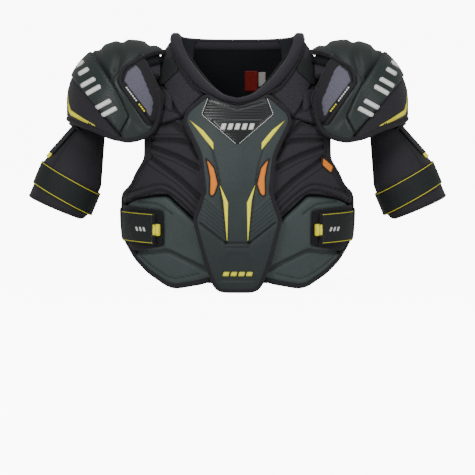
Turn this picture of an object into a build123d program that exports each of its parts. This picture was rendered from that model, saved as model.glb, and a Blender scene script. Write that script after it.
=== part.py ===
from build123d import *
import json
import math
import os

# Ice hockey shoulder pads: a padded vest that closes over the torso, with a sternum
# shield, a spine shield, a floating cap over each shoulder and a guard on each upper arm.
# Millimetres. +Z is up, the chest faces -Y and the wearer's left is +X. The origin is on
# the surface that the pads stand on, under the middle of their bounding box.

# ---- Overall sizes -----------------------------------------------------------------
TORSO_WIDTH = 346.0  # inside the liner, at the waist
TORSO_DEPTH = 236.0  # inside the liner, front to back
VEST_HEIGHT = 410.0  # from the standing edge to the top of the collar
PATTERN_WIDTH = 346.0  # the torso width that the pattern pieces are drawn for
PATTERN_HEIGHT = 410.0  # the vest height that they are drawn for

# ---- Layers of the vest, from the body outwards -------------------------------------
GAP = 0.3  # between one sewn layer and the next
LINER = 3.0
PAD = 12.0
INSERT = 2.4
SHIELD = 8.7
BADGE = 2.7
WEBBING = 2.3  # straps
INSERT_MARGIN = 6.0  # how far inside its binding the sternum insert ends
TRIM = 0.6  # how far a binding stands proud of the shield that it edges
BINDING_WIDTH = 8.0
COLLAR_RISE = 1.5  # how far the collar stands proud of the pads
LANDING_DEPTH = 1.8  # the sunk patch of loop fabric that a side strap closes on

# ---- Vest details -------------------------------------------------------------------
SIDE_OPENING = 24.0  # between front and back, under the arms
ARMHOLE_DEPTH = 160.0
ARMHOLE_HEIGHT = 160.0
ARMHOLE_CENTRE_Z = 225.0
LINER_HEM_Z = 12.0
NECK_BACK_INNER_Z = 400.0  # the collar is level at the back, between these heights
NECK_BACK_OUTER_Z = 384.0
NECK_BACK_HALF = 104.0
YOKE_STRAP_START = 6.0  # in front of the shoulder seam
SIDE_VENT_THICK = 3.0
LABEL_X = 14.0
LABEL_WIDTH = 24.0
LABEL_TOP_Z = 352.0
LABEL_DROP = 36.0
LABEL_THICK = 1.2
SEAM_Y = 8.0  # the shoulder seam, and the middle of the caps
STRAP_WIDTH = 50.0
STRAP_TOP_Z = 129.0
STRAP_DROP = 6.0  # how much lower the front end of a side strap lies
STRAP_HINGE_Y = -25.0
STRAP_GAP = 2.5  # lets the folded end of a side strap swing out
STRAP_END_X = 132.0
STRAP_BEND_X = 102.0  # the drop is drawn from here, past the front end, to the side
STRAP_SIDE_X = 230.0
STRAP_REAR_Y = 84.0
STRAP_LIFT = 0.5  # free space between a strap and the pads
TAB_LENGTH = 9.0
TAB_WIDTH = 20.0

# ---- Shoulder cap --------------------------------------------------------------------
CAP_CENTRE_X = 175.0
CAP_CENTRE_Z = 300.0
CAP_RADIUS = 102.0
CAP_DROP = 70.0
CAP_RIM_Z = 274.0  # the height of the cap's rim at its outer end
CAP_LINING = 4.0
CAP_SHELL = 3.0
CAP_COVER = 6.4
CAP_HINGE_X = 106.0
CAP_HINGE_Z = 404.0
FLAP_START = 20.0  # how far in front of the seam the front flap begins
TIP_PAD = 10.0  # the pad on the tip of the shoulder, under the cap
TIP_ROOM = 1.5  # between that pad and the cap's lining

# ---- Upper arm guard -------------------------------------------------------------------
ARM_SPLAY = 23.0  # degrees out from vertical
ARM_INSET = 53.0  # the arm's origin, in from the cap's outer wall
ARM_RISE = 13.0  # and up from the cap's rim
GUARD_TOP = -10.0  # heights along the arm, from its own origin
GUARD_FLARE_END = -112.0
GUARD_BOTTOM = -172.0
GUARD_TOP_RADIUS = 16.0
GUARD_RADIUS = 52.0
GUARD_LINING = 2.5
GUARD_PLATE = 2.0
GUARD_PAD = 4.9
GUARD_FROM = -78.0  # degrees round the arm, from the front towards the outer side
GUARD_TO = 112.0
ARM_STRAP_TOP = -118.0
ARM_STRAP_WIDTH = 38.0
ARM_STRAP_HINGE = -84.0
ARM_STRAP_END = 104.0
HANGER_ANGLE = 72.0
HANGER_WIDTH = 25.0
HANGER_TOP = -41.0
HANGER_BOTTOM = -94.0
HANGER_STOP = 6.0  # the folded end above the ring
HANGER_FOLD = 2.0
HANGER_TAB = 8.0
HANGER_TAB_WIDTH = 17.0
NOTCH_ROOM = 8.0  # between the ring and the guard's top edge, both sides together
RING_WALL = 3.0
RING_ROOM = 2.2  # free space round the hanger strap in its ring

SIDES = {"left": 1, "right": -1}
FAR = 400.0  # how far a cutting prism reaches, past everything
STRAIGHT = 3.0  # degrees: flatter corners of a pattern piece are left as they are


# ---- Helpers -------------------------------------------------------------------------
def graded(points):
    """Scales a pattern piece from its drawn size to this vest's size."""
    wide, high = TORSO_WIDTH / PATTERN_WIDTH, VEST_HEIGHT / PATTERN_HEIGHT
    return [(x * wide, z * high) for x, z in points]


def both_halves(points):
    """Closes a half outline, drawn from the centre line out and back, across the centre."""
    return points + [(-x, z) for x, z in reversed(points) if x > 0]


def rounded_face(points, radius):
    """A face on the XZ plane whose corners are rounded as far as their edges allow."""
    corners = []
    count = len(points)
    for i in range(count):
        before, here, after = (Vector(*points[(i + k) % count]) for k in (-1, 0, 1))
        turn = (here - before).get_angle(after - here)
        room = 0.45 * min((here - before).length, (after - here).length)
        fits = room / math.tan(math.radians(max(turn, STRAIGHT)) / 2)
        corners.append(min(radius, fits) if turn > STRAIGHT else 0)
    return Plane.XZ * make_face(FilletPolyline(*points, radius=corners, close=True))


def forwards(face, start=0.0):
    """Everything in front of y = start that a face on the XZ plane covers."""
    return Pos(0, start, 0) * extrude(face, FAR, dir=(0, -1, 0))


def backwards(face, start=0.0):
    """Everything behind y = start that a face on the XZ plane covers."""
    return Pos(0, start, 0) * extrude(face, FAR, dir=(0, 1, 0))


def front_prism(points, radius=6.0, start=0.0):
    """Everything in front of y = start inside an outline."""
    return forwards(rounded_face(points, radius), start)


def rear_prism(points, radius=6.0, start=0.0):
    """Everything behind y = start inside an outline."""
    return backwards(rounded_face(points, radius), start)


def block(x0, x1, y0, y1, z0, z1):
    """A box between two corners."""
    centre = Pos((x0 + x1) / 2, (y0 + y1) / 2, (z0 + z1) / 2)
    return centre * Box(x1 - x0, y1 - y0, z1 - z0)


def for_side(shape, sign):
    """A shape drawn for the wearer's left, or its mirror image."""
    return shape if sign > 0 else mirror(shape, about=Plane.YZ)


def save(name, shape):
    """Writes a node's solids and prints their volume."""
    solids = shape.solids()
    export_step(solids[0] if len(solids) == 1 else Compound(solids), f"parts/{name}.step")
    print(name, len(solids), round(sum(s.volume for s in solids) / 1000, 1), "cm3")


# ---- The torso form that every layer of the vest wraps --------------------------------
# (share of the height, share of the half width, share of the half depth, centre's share
# of the depth): the waist, ribs, chest, shoulders and neck root.
TORSO_SECTIONS = [
    (0.00, 0.900, 0.915, 0.000),
    (0.15, 0.970, 0.980, 0.000),
    (0.30, 1.000, 1.015, 0.000),
    (0.44, 0.985, 1.010, 0.000),
    (0.585, 0.930, 0.940, 0.015),
    (0.73, 0.830, 0.790, 0.040),
    (0.85, 0.715, 0.600, 0.065),
    (0.94, 0.600, 0.430, 0.085),
    (1.00, 0.510, 0.320, 0.095),
]
forms = {}


def torso_form(offset):
    """The torso, grown outwards by offset."""
    key = round(offset, 3)
    if key not in forms:
        sections = [
            Pos(0, centre * TORSO_DEPTH, share * VEST_HEIGHT)
            * Ellipse(wide * TORSO_WIDTH / 2 + offset, deep * TORSO_DEPTH / 2 + offset)
            for share, wide, deep, centre in TORSO_SECTIONS
        ]
        forms[key] = loft(sections)
    return forms[key]


def layer(inner, thickness):
    """A shell round the torso form, from inner out by thickness."""
    return torso_form(inner + thickness) - torso_form(inner)


PAD_IN = LINER + GAP
PAD_OUT = PAD_IN + PAD
INSERT_IN = PAD_OUT + GAP
SHIELD_IN = INSERT_IN + INSERT + GAP
SHIELD_OUT = SHIELD_IN + SHIELD
BADGE_IN = SHIELD_OUT + GAP
STRAP_IN = PAD_OUT + STRAP_LIFT
COLLAR_OUT = PAD_OUT + COLLAR_RISE
CAP_CLEAR = STRAP_IN + WEBBING + GAP

# ---- Pattern pieces, seen from the front, +X half ---------------------------------------
NECK_INNER = [(0, 305), (22, 310), (40, 325), (61, 350), (82, 379), (92, 398), (92, 430)]
NECK_OUTER = [(0, 297), (27, 301), (52, 316), (69, 325), (90, 353), (105, 376), (112, 430)]
SHIELD_HALF = [
    (0, 295), (27, 299), (52, 314), (84, 287), (88, 272), (75, 247), (61, 219), (54, 160),
    (71, 114), (57, 63), (45, 26), (36, 5), (24, 0), (0, 0),
]
CHEST = [
    (20, 296), (88, 276), (126, 262), (160, 250), (160, 200), (178, 176), (200, 160),
    (200, 136), (169, 147), (138, 153), (113, 154), (66, 112), (40, 140), (20, 200),
]
YOKE_FRONT = [
    (56, 313), (71, 323), (92, 351), (107, 374), (113, 430), (170, 430), (170, 251.5),
    (127, 263.5), (90, 274),
]
SIDE_PANEL = [
    (20, 90), (30, 22), (60, 16), (100, 8), (113, 11), (143, 30), (164, 50), (186, 78),
    (206, 100), (206, 133), (169, 144), (138, 150), (115, 151.5), (68, 110),
]
LANDING = [(118, 134), (206, 138), (206, 60), (166, 60), (116, 70)]
BADGE_HALF = [(0, 292), (45, 309), (58, 281), (0, 233)]
VENT = [(49, 217), (36, 203), (30.5, 174), (39, 150), (46, 160)]
SIDE_VENT = [(133, 212), (134, 198), (149, 186), (152, 194), (140, 210)]
YOKE_STRAP = [(103, 376), (150, 352), (132, 322), (92, 350)]
SPINE_HALF = [(0, 372), (26, 372), (44, 340), (30, 250), (40, 180), (30, 96), (0, 84)]
UPPER_BACK = [(4, 378), (60, 380), (108, 376), (170, 330), (170, 200), (140, 178), (4, 168)]
LOWER_BACK_HALF = [(0, 164), (138, 173), (206, 150), (206, 84), (150, 34), (96, 0), (0, 0)]
YOKE_BACK = [(170, 334), (110, 379), (100, 384), (104, 430), (170, 430)]
CAP_OUTLINE = [
    (108, 430), (108, 385), (135, 381), (153, 372), (140, 349), (127, 323), (121, 302),
    (124, 275), (133, 254), (153, 243), (173, 239), (203, 245), (229, 258), (272, CAP_RIM_Z),
    (300, 284), (300, 430),
]
FLAP = [(158, 371), (181, 357), (189, 334), (141, 264), (120, 268), (112, 310), (150, 380)]
SKIRT = [(300, 385), (266, 345), (188, 251), (178, 225), (300, 225)]
TIP_OUTLINE = [(112, 350), (158, 350), (158, 400), (112, 400)]
SIZE = {"wide": TORSO_WIDTH / PATTERN_WIDTH, "high": VEST_HEIGHT / PATTERN_HEIGHT}


# ---- Vest ------------------------------------------------------------------------------
def armholes():
    """An oval tunnel from side to side that cuts both armholes."""
    hole = Ellipse(ARMHOLE_DEPTH / 2, ARMHOLE_HEIGHT / 2)
    middle = Pos(0, SEAM_Y, ARMHOLE_CENTRE_Z * SIZE["high"])
    return middle * extrude(Plane.YZ * hole, FAR, both=True)


def side_slot():
    """The open sides, from the hem up into the armholes."""
    top = ARMHOLE_CENTRE_Z * SIZE["high"]
    half = SIDE_OPENING / 2
    return block(-FAR, FAR, -half, half, -FAR, top)


def neck_opening(outline, back_half, back_level):
    """The neck cut: a V in front, and level at the back."""
    front = front_prism(both_halves(graded(outline)), 14, SEAM_Y)
    half = back_half * SIZE["wide"]
    back = block(-half, half, SEAM_Y - GAP, FAR, back_level * SIZE["high"], VEST_HEIGHT + FAR)
    return front + back


def clear_of(shape, *cutters):
    """The shape with each cutter taken out of it."""
    for cutter in cutters:
        shape = shape - cutter
    return shape


HOLES = armholes()
SLOT = side_slot()
NECK_IN = neck_opening(NECK_INNER, NECK_INNER[-1][0], NECK_BACK_INNER_Z)
NECK_OUT = neck_opening(NECK_OUTER, NECK_BACK_HALF, NECK_BACK_OUTER_Z)


def liners():
    """The knitted linings of the front and the back."""
    shell = clear_of(layer(0, LINER), HOLES, SLOT, NECK_IN)
    hem = LINER_HEM_Z * SIZE["high"]
    front = shell & block(-FAR, FAR, -FAR, SEAM_Y - GAP / 2, hem, FAR + VEST_HEIGHT)
    back = shell & block(-FAR, FAR, SEAM_Y + GAP / 2, FAR, hem, FAR + VEST_HEIGHT)
    save("liner_front", front)
    save("liner_back", back)


def collar():
    """The padded roll round the neck opening, over the whole thickness of the vest."""
    roll = layer(PAD_IN, COLLAR_OUT - PAD_IN) & NECK_OUT
    save("collar", clear_of(roll, NECK_IN))


def yoke_behind(grow):
    """The part of the yoke that laps over the back of the shoulder."""
    face = rounded_face(graded(YOKE_BACK), 4)
    return backwards(offset(face, grow) if grow else face, SEAM_Y)


def chest_and_yoke():
    """The chest pads, the pads over the shoulders and the bands that cross them."""
    shell = clear_of(layer(PAD_IN, PAD), HOLES, SLOT, NECK_OUT)
    side_vent = front_prism(graded(SIDE_VENT), 3)
    yoke_face = rounded_face(graded(YOKE_FRONT), 4)
    yoke = (shell & forwards(yoke_face, SEAM_Y)) + (shell & yoke_behind(0))
    chest = (shell & front_prism(graded(CHEST), 4)) - forwards(offset(yoke_face, GAP), SEAM_Y)
    strap = layer(INSERT_IN, WEBBING) & front_prism(graded(YOKE_STRAP), 3, SEAM_Y - YOKE_STRAP_START)
    strap = clear_of(strap, NECK_OUT, HOLES)
    for side, sign in SIDES.items():
        pad = chest - side_vent if sign > 0 else chest
        save(f"chest_pad_{side}", for_side(pad, sign))
        save(f"yoke_pad_{side}", for_side(yoke, sign))
        save(f"yoke_strap_{side}", for_side(strap, sign))
    vent = layer(PAD_IN + PAD / 2, SIDE_VENT_THICK) & front_prism(graded(SIDE_VENT), 3)
    save("side_vent_left", clear_of(vent, HOLES, SLOT))


def side_panels():
    """The lower side pads, each with a sunk patch that its strap closes on."""
    shell = clear_of(layer(PAD_IN, PAD), HOLES, SLOT)
    panel = shell & front_prism(graded(SIDE_PANEL), 5)
    patch = front_prism(graded(LANDING), 4)
    recess = layer(PAD_OUT - LANDING_DEPTH - GAP, LANDING_DEPTH + GAP + 2) & patch
    landing = layer(PAD_OUT - LANDING_DEPTH, LANDING_DEPTH) & patch
    landing = (landing & front_prism(graded(SIDE_PANEL), 5)) - SLOT
    for side, sign in SIDES.items():
        save(f"side_panel_{side}", for_side(panel - recess, sign))
        save(f"strap_landing_{side}", for_side(landing, sign))


def sternum():
    """The shield down the middle of the chest, with its insert, binding, badge and vents."""
    outline = rounded_face(both_halves(graded(SHIELD_HALF)), 8)
    vent_face = rounded_face(graded(VENT), 3)
    badge_face = rounded_face(both_halves(graded(BADGE_HALF)), 4)
    badge = forwards(badge_face)
    inside = forwards(offset(outline, -BINDING_WIDTH)) + (badge & forwards(outline))
    core = forwards(offset(outline, -BINDING_WIDTH - INSERT_MARGIN))
    vents = forwards(vent_face)
    vents = vents + mirror(vents, about=Plane.YZ)
    save("sternum_insert", clear_of(layer(INSERT_IN, INSERT) & core, NECK_OUT))
    save("sternum_shield", clear_of(layer(SHIELD_IN, SHIELD) & inside, vents, NECK_OUT))
    edge = layer(INSERT_IN, SHIELD_OUT - INSERT_IN + TRIM) & forwards(outline)
    hollow = forwards(offset(outline, GAP - BINDING_WIDTH))
    badge_room = forwards(offset(badge_face, GAP))
    save("sternum_binding", clear_of(edge, hollow, badge_room, NECK_OUT))
    save("sternum_badge", clear_of(layer(BADGE_IN, BADGE) & badge, NECK_OUT))
    vent = layer(SHIELD_IN, SHIELD / 3) & forwards(offset(vent_face, -GAP)) & inside
    for side, sign in SIDES.items():
        save(f"sternum_vent_{side}", for_side(vent, sign))


def back_pads():
    """The shoulder blade pads, the kidney pad and the spine shield."""
    shell = clear_of(layer(PAD_IN, PAD), HOLES, SLOT, NECK_OUT)
    upper = (shell & rear_prism(graded(UPPER_BACK), 5, SEAM_Y + GAP)) - yoke_behind(GAP)
    lower = shell & rear_prism(both_halves(graded(LOWER_BACK_HALF)), 5)
    for side, sign in SIDES.items():
        save(f"upper_back_pad_{side}", for_side(upper, sign))
    save("lower_back_pad", lower)
    outline = rounded_face(both_halves(graded(SPINE_HALF)), 6)
    core = backwards(offset(outline, -BINDING_WIDTH))
    save("spine_insert", clear_of(layer(INSERT_IN, INSERT) & core, NECK_OUT))
    save("spine_shield", clear_of(layer(SHIELD_IN, SHIELD) & backwards(outline), NECK_OUT))


def neck_label():
    """The woven label that hangs inside the back, under the collar."""
    top = LABEL_TOP_Z * SIZE["high"]
    patch = block(LABEL_X, LABEL_X + LABEL_WIDTH, SEAM_Y, FAR, top - LABEL_DROP, top)
    save("neck_label", layer(-GAP - LABEL_THICK, LABEL_THICK) & patch)


# ---- Side straps -----------------------------------------------------------------------
def strap_band():
    """The space between a side strap's two edges, which drop towards its front end."""
    top = STRAP_TOP_Z * SIZE["high"]
    bottom = top - STRAP_WIDTH
    end = STRAP_BEND_X * SIZE["wide"]
    side = STRAP_SIDE_X * SIZE["wide"]
    outline = [(end, top - STRAP_DROP), (side, top), (side, bottom), (end, bottom - STRAP_DROP)]
    return front_prism(outline, 0, FAR / 2)


def side_straps():
    """The elastics round the sides, with their hooked front ends and pull tabs."""
    band = layer(STRAP_IN, WEBBING) & strap_band()
    end = STRAP_END_X * SIZE["wide"]
    flap = band & block(end, FAR, -FAR, STRAP_HINGE_Y, 0, FAR)
    elastic = band & block(0, FAR, STRAP_HINGE_Y + STRAP_GAP, STRAP_REAR_Y, 0, FAR)
    middle = STRAP_TOP_Z * SIZE["high"] - STRAP_DROP - STRAP_WIDTH / 2
    tab = layer(STRAP_IN, WEBBING) & block(
        end - TAB_LENGTH, end, -FAR, 0, middle - TAB_WIDTH / 2, middle + TAB_WIDTH / 2
    )
    for side, sign in SIDES.items():
        save(f"side_strap_flap_{side}", for_side(flap, sign))
        save(f"side_strap_elastic_{side}", for_side(elastic, sign))
        save(f"side_strap_tab_{side}", for_side(tab, sign))


def strap_hinge():
    """How far out the outer face of a side strap is at its hinge line."""
    share = (STRAP_TOP_Z - STRAP_WIDTH / 2) / PATTERN_HEIGHT
    below = [s for s in TORSO_SECTIONS if s[0] <= share][-1]
    above = [s for s in TORSO_SECTIONS if s[0] > share][0]
    mix = (share - below[0]) / (above[0] - below[0])
    half_wide = (below[1] + mix * (above[1] - below[1])) * TORSO_WIDTH / 2
    half_deep = (below[2] + mix * (above[2] - below[2])) * TORSO_DEPTH / 2
    grow = STRAP_IN + WEBBING
    ratio = STRAP_HINGE_Y / (half_deep + grow)
    return (half_wide + grow) * math.sqrt(1 - ratio**2)


# ---- Shoulder caps ---------------------------------------------------------------------
def cap_form(inset):
    """A bell: a half sphere over a straight wall."""
    radius = CAP_RADIUS - inset
    wall = Pos(0, 0, -CAP_DROP / 2) * Cylinder(radius, CAP_DROP)
    dome = Sphere(radius, arc_size1=0, align=(Align.CENTER, Align.CENTER, Align.MIN))
    bell = dome + wall
    return Pos(CAP_CENTRE_X * SIZE["wide"], SEAM_Y, CAP_CENTRE_Z * SIZE["high"]) * bell


def caps():
    """The shoulder caps, and the pads on the tips of the shoulders under them."""
    region = front_prism(graded(CAP_OUTLINE), 10, FAR / 2) - torso_form(CAP_CLEAR)
    shell_in = CAP_COVER + GAP + CAP_SHELL
    lining_in = shell_in + GAP + CAP_LINING
    cover = (cap_form(0) - cap_form(CAP_COVER)) & region
    shell = (cap_form(CAP_COVER + GAP) - cap_form(shell_in)) & region
    lining = (cap_form(shell_in + GAP) - cap_form(lining_in)) & region
    flap_face = rounded_face(graded(FLAP), 8)
    skirt_face = rounded_face(graded(SKIRT), 4)
    flap_start = SEAM_Y - FLAP_START
    flap_room = forwards(offset(flap_face, GAP), flap_start)
    skirt_room = forwards(offset(skirt_face, GAP), FAR / 2)
    tip_in = lining_in + TIP_ROOM
    tip = (cap_form(tip_in) - cap_form(tip_in + TIP_PAD)) - torso_form(CAP_CLEAR)
    pieces = {
        "cap_cover": clear_of(cover, flap_room, skirt_room),
        "cap_skirt": (cover & forwards(skirt_face, FAR / 2)) - flap_room,
        "cap_front_flap": cover & forwards(flap_face, flap_start),
        "cap_shell": shell,
        "cap_lining": lining,
        "shoulder_tip_pad": tip & front_prism(graded(TIP_OUTLINE), 6, FAR / 2),
    }
    for side, sign in SIDES.items():
        for name, shape in pieces.items():
            save(f"{name}_{side}", for_side(shape, sign))


# ---- Upper arm guards --------------------------------------------------------------------
ARM_X = CAP_CENTRE_X * SIZE["wide"] + CAP_RADIUS - ARM_INSET
ARM_Z = CAP_RIM_Z * SIZE["high"] + ARM_RISE
ARM_AT = Pos(ARM_X, SEAM_Y, ARM_Z) * Rot(0, -ARM_SPLAY, 0)


def guard_radius(height):
    """The guard's outer radius at a height along the arm."""
    share = min(1, (GUARD_TOP - height) / (GUARD_TOP - GUARD_FLARE_END))
    return GUARD_TOP_RADIUS + share * (GUARD_RADIUS - GUARD_TOP_RADIUS)


def guard_layer(inner, outer, margin=0.0):
    """A flared half tube, from inner to outer millimetres inside the guard's outer face."""
    heights = [GUARD_TOP - margin, GUARD_FLARE_END, GUARD_BOTTOM + margin]
    ring = [(guard_radius(h) - outer, h) for h in heights]
    ring += [(guard_radius(h) - inner, h) for h in reversed(heights)]
    profile = Plane.XZ * make_face(Polyline(*ring, close=True))
    start, arc = GUARD_FROM + margin, GUARD_TO - GUARD_FROM - 2 * margin
    return Rot(0, 0, start - 90) * revolve(profile, Axis.Z, revolution_arc=arc)


def band_ring(start, end):
    """Part of the arm strap, from start to end degrees round the arm."""
    inner = GUARD_RADIUS + GAP
    low = ARM_STRAP_TOP - ARM_STRAP_WIDTH
    profile = Pos(inner + WEBBING / 2, (ARM_STRAP_TOP + low) / 2) * Rectangle(
        WEBBING, ARM_STRAP_WIDTH
    )
    return Rot(0, 0, start - 90) * revolve(Plane.XZ * profile, Axis.Z, revolution_arc=end - start)


def hanger_plane():
    """The plane of the hanger strap: x across it, y down the arm, z out from the guard."""
    angle = math.radians(HANGER_ANGLE - 90)
    outwards = Vector(math.cos(angle), math.sin(angle), 0)
    ends = [
        outwards * guard_radius(height) + Vector(0, 0, height)
        for height in (HANGER_TOP, HANGER_BOTTOM)
    ]
    down = (ends[1] - ends[0]).normalized()
    across = outwards.cross(Vector(0, 0, 1))
    return Plane(origin=ends[0], x_dir=across, z_dir=across.cross(down))


def hanger_run(start, end, width, lift, thickness):
    """A flat length of webbing from start to end, measured down the arm from the ring."""
    strip = Pos(0, (start + end) / 2, lift + thickness / 2) * Box(width, end - start, thickness)
    return hanger_plane() * strip


HANGER_LIFT = 2 * GAP  # the hanger strap's clearance over the guard
RING_MIDDLE = HANGER_LIFT + WEBBING / 2


def arms():
    """The arm guards with their hanger straps, rings and arm straps."""
    length = GUARD_TOP - HANGER_BOTTOM
    end = HANGER_TOP - HANGER_BOTTOM
    ring_window = (HANGER_WIDTH + 2 * RING_ROOM, WEBBING + 2 * RING_ROOM)
    ring_size = (ring_window[0] + 2 * RING_WALL, ring_window[1] + 2 * RING_WALL)
    frame = Box(ring_size[0], RING_WALL, ring_size[1]) - Box(ring_window[0], 9, ring_window[1])
    ring = hanger_plane() * (Pos(0, 0, RING_MIDDLE) * frame)
    notch = hanger_run(-length, HANGER_STOP + RING_ROOM, ring_size[0] + NOTCH_ROOM, -25, 50)
    plate_out = GUARD_PAD + GAP + GUARD_PLATE
    lining = (plate_out + GAP, plate_out + GAP + GUARD_LINING)
    strap = hanger_run(-HANGER_STOP, end, HANGER_WIDTH, HANGER_LIFT, WEBBING)
    stop = -HANGER_STOP - HANGER_FOLD
    fold = hanger_run(stop, -HANGER_STOP, HANGER_WIDTH, HANGER_LIFT - 1, WEBBING + 2)
    pieces = {
        "guard_pad": guard_layer(0, GUARD_PAD) - notch,
        "guard_plate": guard_layer(GUARD_PAD + GAP, plate_out, 4.0) - notch,
        "guard_lining": guard_layer(*lining) - notch,
        "guard_hanger": strap + fold,
        "guard_hanger_tab": hanger_run(end, end + HANGER_TAB, HANGER_TAB_WIDTH, HANGER_LIFT, WEBBING),
        "hanger_ring": ring,
        "arm_strap_band": band_ring(ARM_STRAP_END + 2, 360 + ARM_STRAP_HINGE - 1),
        "arm_strap_flap": band_ring(ARM_STRAP_HINGE + 1, ARM_STRAP_END),
    }
    for side, sign in SIDES.items():
        for name, shape in pieces.items():
            save(f"{name}_{side}", for_side(ARM_AT * shape, sign))


def joint_points():
    """Prints the joints' places and axes for the +X side, in millimetres."""
    plane = Plane(ARM_AT * hanger_plane().location)
    ring_at = plane.from_local_coords(Vector(0, 0, RING_MIDDLE))
    hinge_angle = math.radians(ARM_STRAP_HINGE - 90)
    radius = GUARD_RADIUS + GAP + WEBBING
    strap = ARM_AT * Pos(
        radius * math.cos(hinge_angle), radius * math.sin(hinge_angle), ARM_STRAP_TOP
    )
    splay = math.radians(ARM_SPLAY)
    points = {
        "cap": [CAP_HINGE_X * SIZE["wide"], SEAM_Y, CAP_HINGE_Z * SIZE["high"]],
        "ring": list(ring_at),
        "ring_across": list(plane.x_dir),
        "ring_out": list(plane.z_dir),
        "arm_strap": list(strap.position),
        "arm_axis": [-math.sin(splay), 0, math.cos(splay)],
        "side_strap": [strap_hinge(), STRAP_HINGE_Y, STRAP_TOP_Z * SIZE["high"]],
    }
    print("JOINTS", json.dumps(points))


def main():
    """Builds every node."""
    os.makedirs("parts", exist_ok=True)
    liners()
    collar()
    chest_and_yoke()
    side_panels()
    sternum()
    back_pads()
    neck_label()
    side_straps()
    caps()
    arms()
    joint_points()


main()
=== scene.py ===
"""Ice hockey shoulder pads: pads, shells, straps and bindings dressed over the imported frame."""

import logging  # noqa: E402
import math  # noqa: E402
from dataclasses import dataclass  # noqa: E402
from enum import Enum  # noqa: E402
from typing import Iterable, Sequence  # noqa: E402

import bmesh  # noqa: E402
import bpy  # noqa: E402
import numpy as np  # noqa: E402
from mathutils import Matrix, Vector, noise  # noqa: E402


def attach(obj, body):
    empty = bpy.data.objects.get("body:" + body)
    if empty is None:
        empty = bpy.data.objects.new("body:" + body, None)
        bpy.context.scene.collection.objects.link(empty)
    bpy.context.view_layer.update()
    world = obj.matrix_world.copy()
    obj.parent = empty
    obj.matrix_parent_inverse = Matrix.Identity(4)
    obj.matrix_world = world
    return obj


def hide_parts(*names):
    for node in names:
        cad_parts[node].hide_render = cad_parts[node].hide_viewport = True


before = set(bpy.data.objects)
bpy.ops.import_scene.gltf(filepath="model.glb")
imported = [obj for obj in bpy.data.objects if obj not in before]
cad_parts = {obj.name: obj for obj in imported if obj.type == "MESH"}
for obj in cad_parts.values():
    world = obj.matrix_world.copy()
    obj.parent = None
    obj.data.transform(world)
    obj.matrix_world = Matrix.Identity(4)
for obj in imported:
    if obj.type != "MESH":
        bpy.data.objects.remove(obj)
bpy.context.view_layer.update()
log = logging.getLogger("shoulder_pads")

MM = 0.001
Point = tuple[float, float]
Array = np.ndarray

LINER = 3.0
PAD_IN = 3.3
PAD_OUT = 15.3
SHIELD_IN = 18.0
SHIELD_OUT = 26.7
STRAP_IN = 15.8
WEBBING = 2.3
SEAM_Y = 8.0


class Side(Enum):
    """The wearer's side that a piece is on."""

    LEFT = 1
    RIGHT = -1

    @property
    def tag(self) -> str:
        """The ending of this side's piece names."""
        return self.name.lower()


# ------------------------------------------------------------------ flat geometry


def resample(points: Iterable[Point], spacing: float, closed: bool = False) -> Array:
    """Spreads points evenly along a polyline.

    Args:
        points: the polyline's corners.
        spacing: the largest distance between two results.
        closed: True if the last corner joins the first.

    Returns:
        The new points, one row each.
    """
    line = np.array(list(points), float)
    if closed:
        line = np.vstack([line, line[:1]])
    steps = np.linalg.norm(np.diff(line, axis=0), axis=1)
    along = np.concatenate([[0.0], np.cumsum(steps)])
    count = max(2, int(math.ceil(along[-1] / spacing)) + 1)
    at = np.linspace(0, along[-1], count)
    result = np.stack([np.interp(at, along, line[:, k]) for k in range(line.shape[1])], axis=1)
    return result[:-1] if closed else result


def soften(points: Sequence[Point], radius: float, closed: bool = True) -> list[Point]:
    """Rounds a polyline's corners with short curves.

    Args:
        points: the corners.
        radius: how far from a corner its curve starts.
        closed: True for an outline.

    Returns:
        The rounded polyline.
    """
    line = np.array(points, float)
    count = len(line)
    result: list[Point] = []
    for i in range(count):
        if not closed and i in (0, count - 1):
            result.append(tuple(line[i]))
            continue
        here = line[i]
        before, after = line[i - 1] - here, line[(i + 1) % count] - here
        reach = [min(radius, 0.45 * np.linalg.norm(arm)) for arm in (before, after)]
        first = here + before / max(np.linalg.norm(before), 1e-6) * reach[0]
        last = here + after / max(np.linalg.norm(after), 1e-6) * reach[1]
        for t in (0.0, 0.25, 0.5, 0.75, 1.0):
            spot = (1 - t) ** 2 * first + 2 * t * (1 - t) * here + t**2 * last
            result.append(tuple(spot))
    return result


def nearest(points: Array, line: Array, closed: bool) -> tuple[Array, Array]:
    """Finds how far points are from a polyline.

    Args:
        points: the points, one row each.
        line: the polyline.
        closed: True if it closes on itself.

    Returns:
        The distances, and the nearest places on the polyline.
    """
    ends = np.vstack([line, line[:1]]) if closed else line
    start, run = ends[:-1], np.diff(ends, axis=0)
    length = np.maximum((run**2).sum(axis=1), 1e-12)
    best = np.full(len(points), 1e9)
    place = points.copy()
    for a, r, size in zip(start, run, length):
        t = np.clip(((points - a) @ r) / size, 0, 1)
        spot = a + t[:, None] * r
        gap = np.linalg.norm(points - spot, axis=1)
        closer = gap < best
        best[closer] = gap[closer]
        place[closer] = spot[closer]
    return best, place


def inside(points: Array, outline: Array) -> Array:
    """Tells which points an outline encloses, by counting the edges that each crosses.

    Args:
        points: the points.
        outline: the outline's corners.

    Returns:
        True for each point that is inside.
    """
    result = np.zeros(len(points), bool)
    x, y = points[:, 0], points[:, 1]
    for (x0, y0), (x1, y1) in zip(outline, np.roll(outline, -1, axis=0)):
        if y0 != y1:
            crosses = (y0 > y) != (y1 > y)
            result ^= crosses & (x < (x1 - x0) * (y - y0) / (y1 - y0) + x0)
    return result


def ease(t: Array) -> Array:
    """A smooth step from 0 to 1."""
    t = np.clip(t, 0, 1)
    return t * t * (3 - 2 * t)


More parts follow.
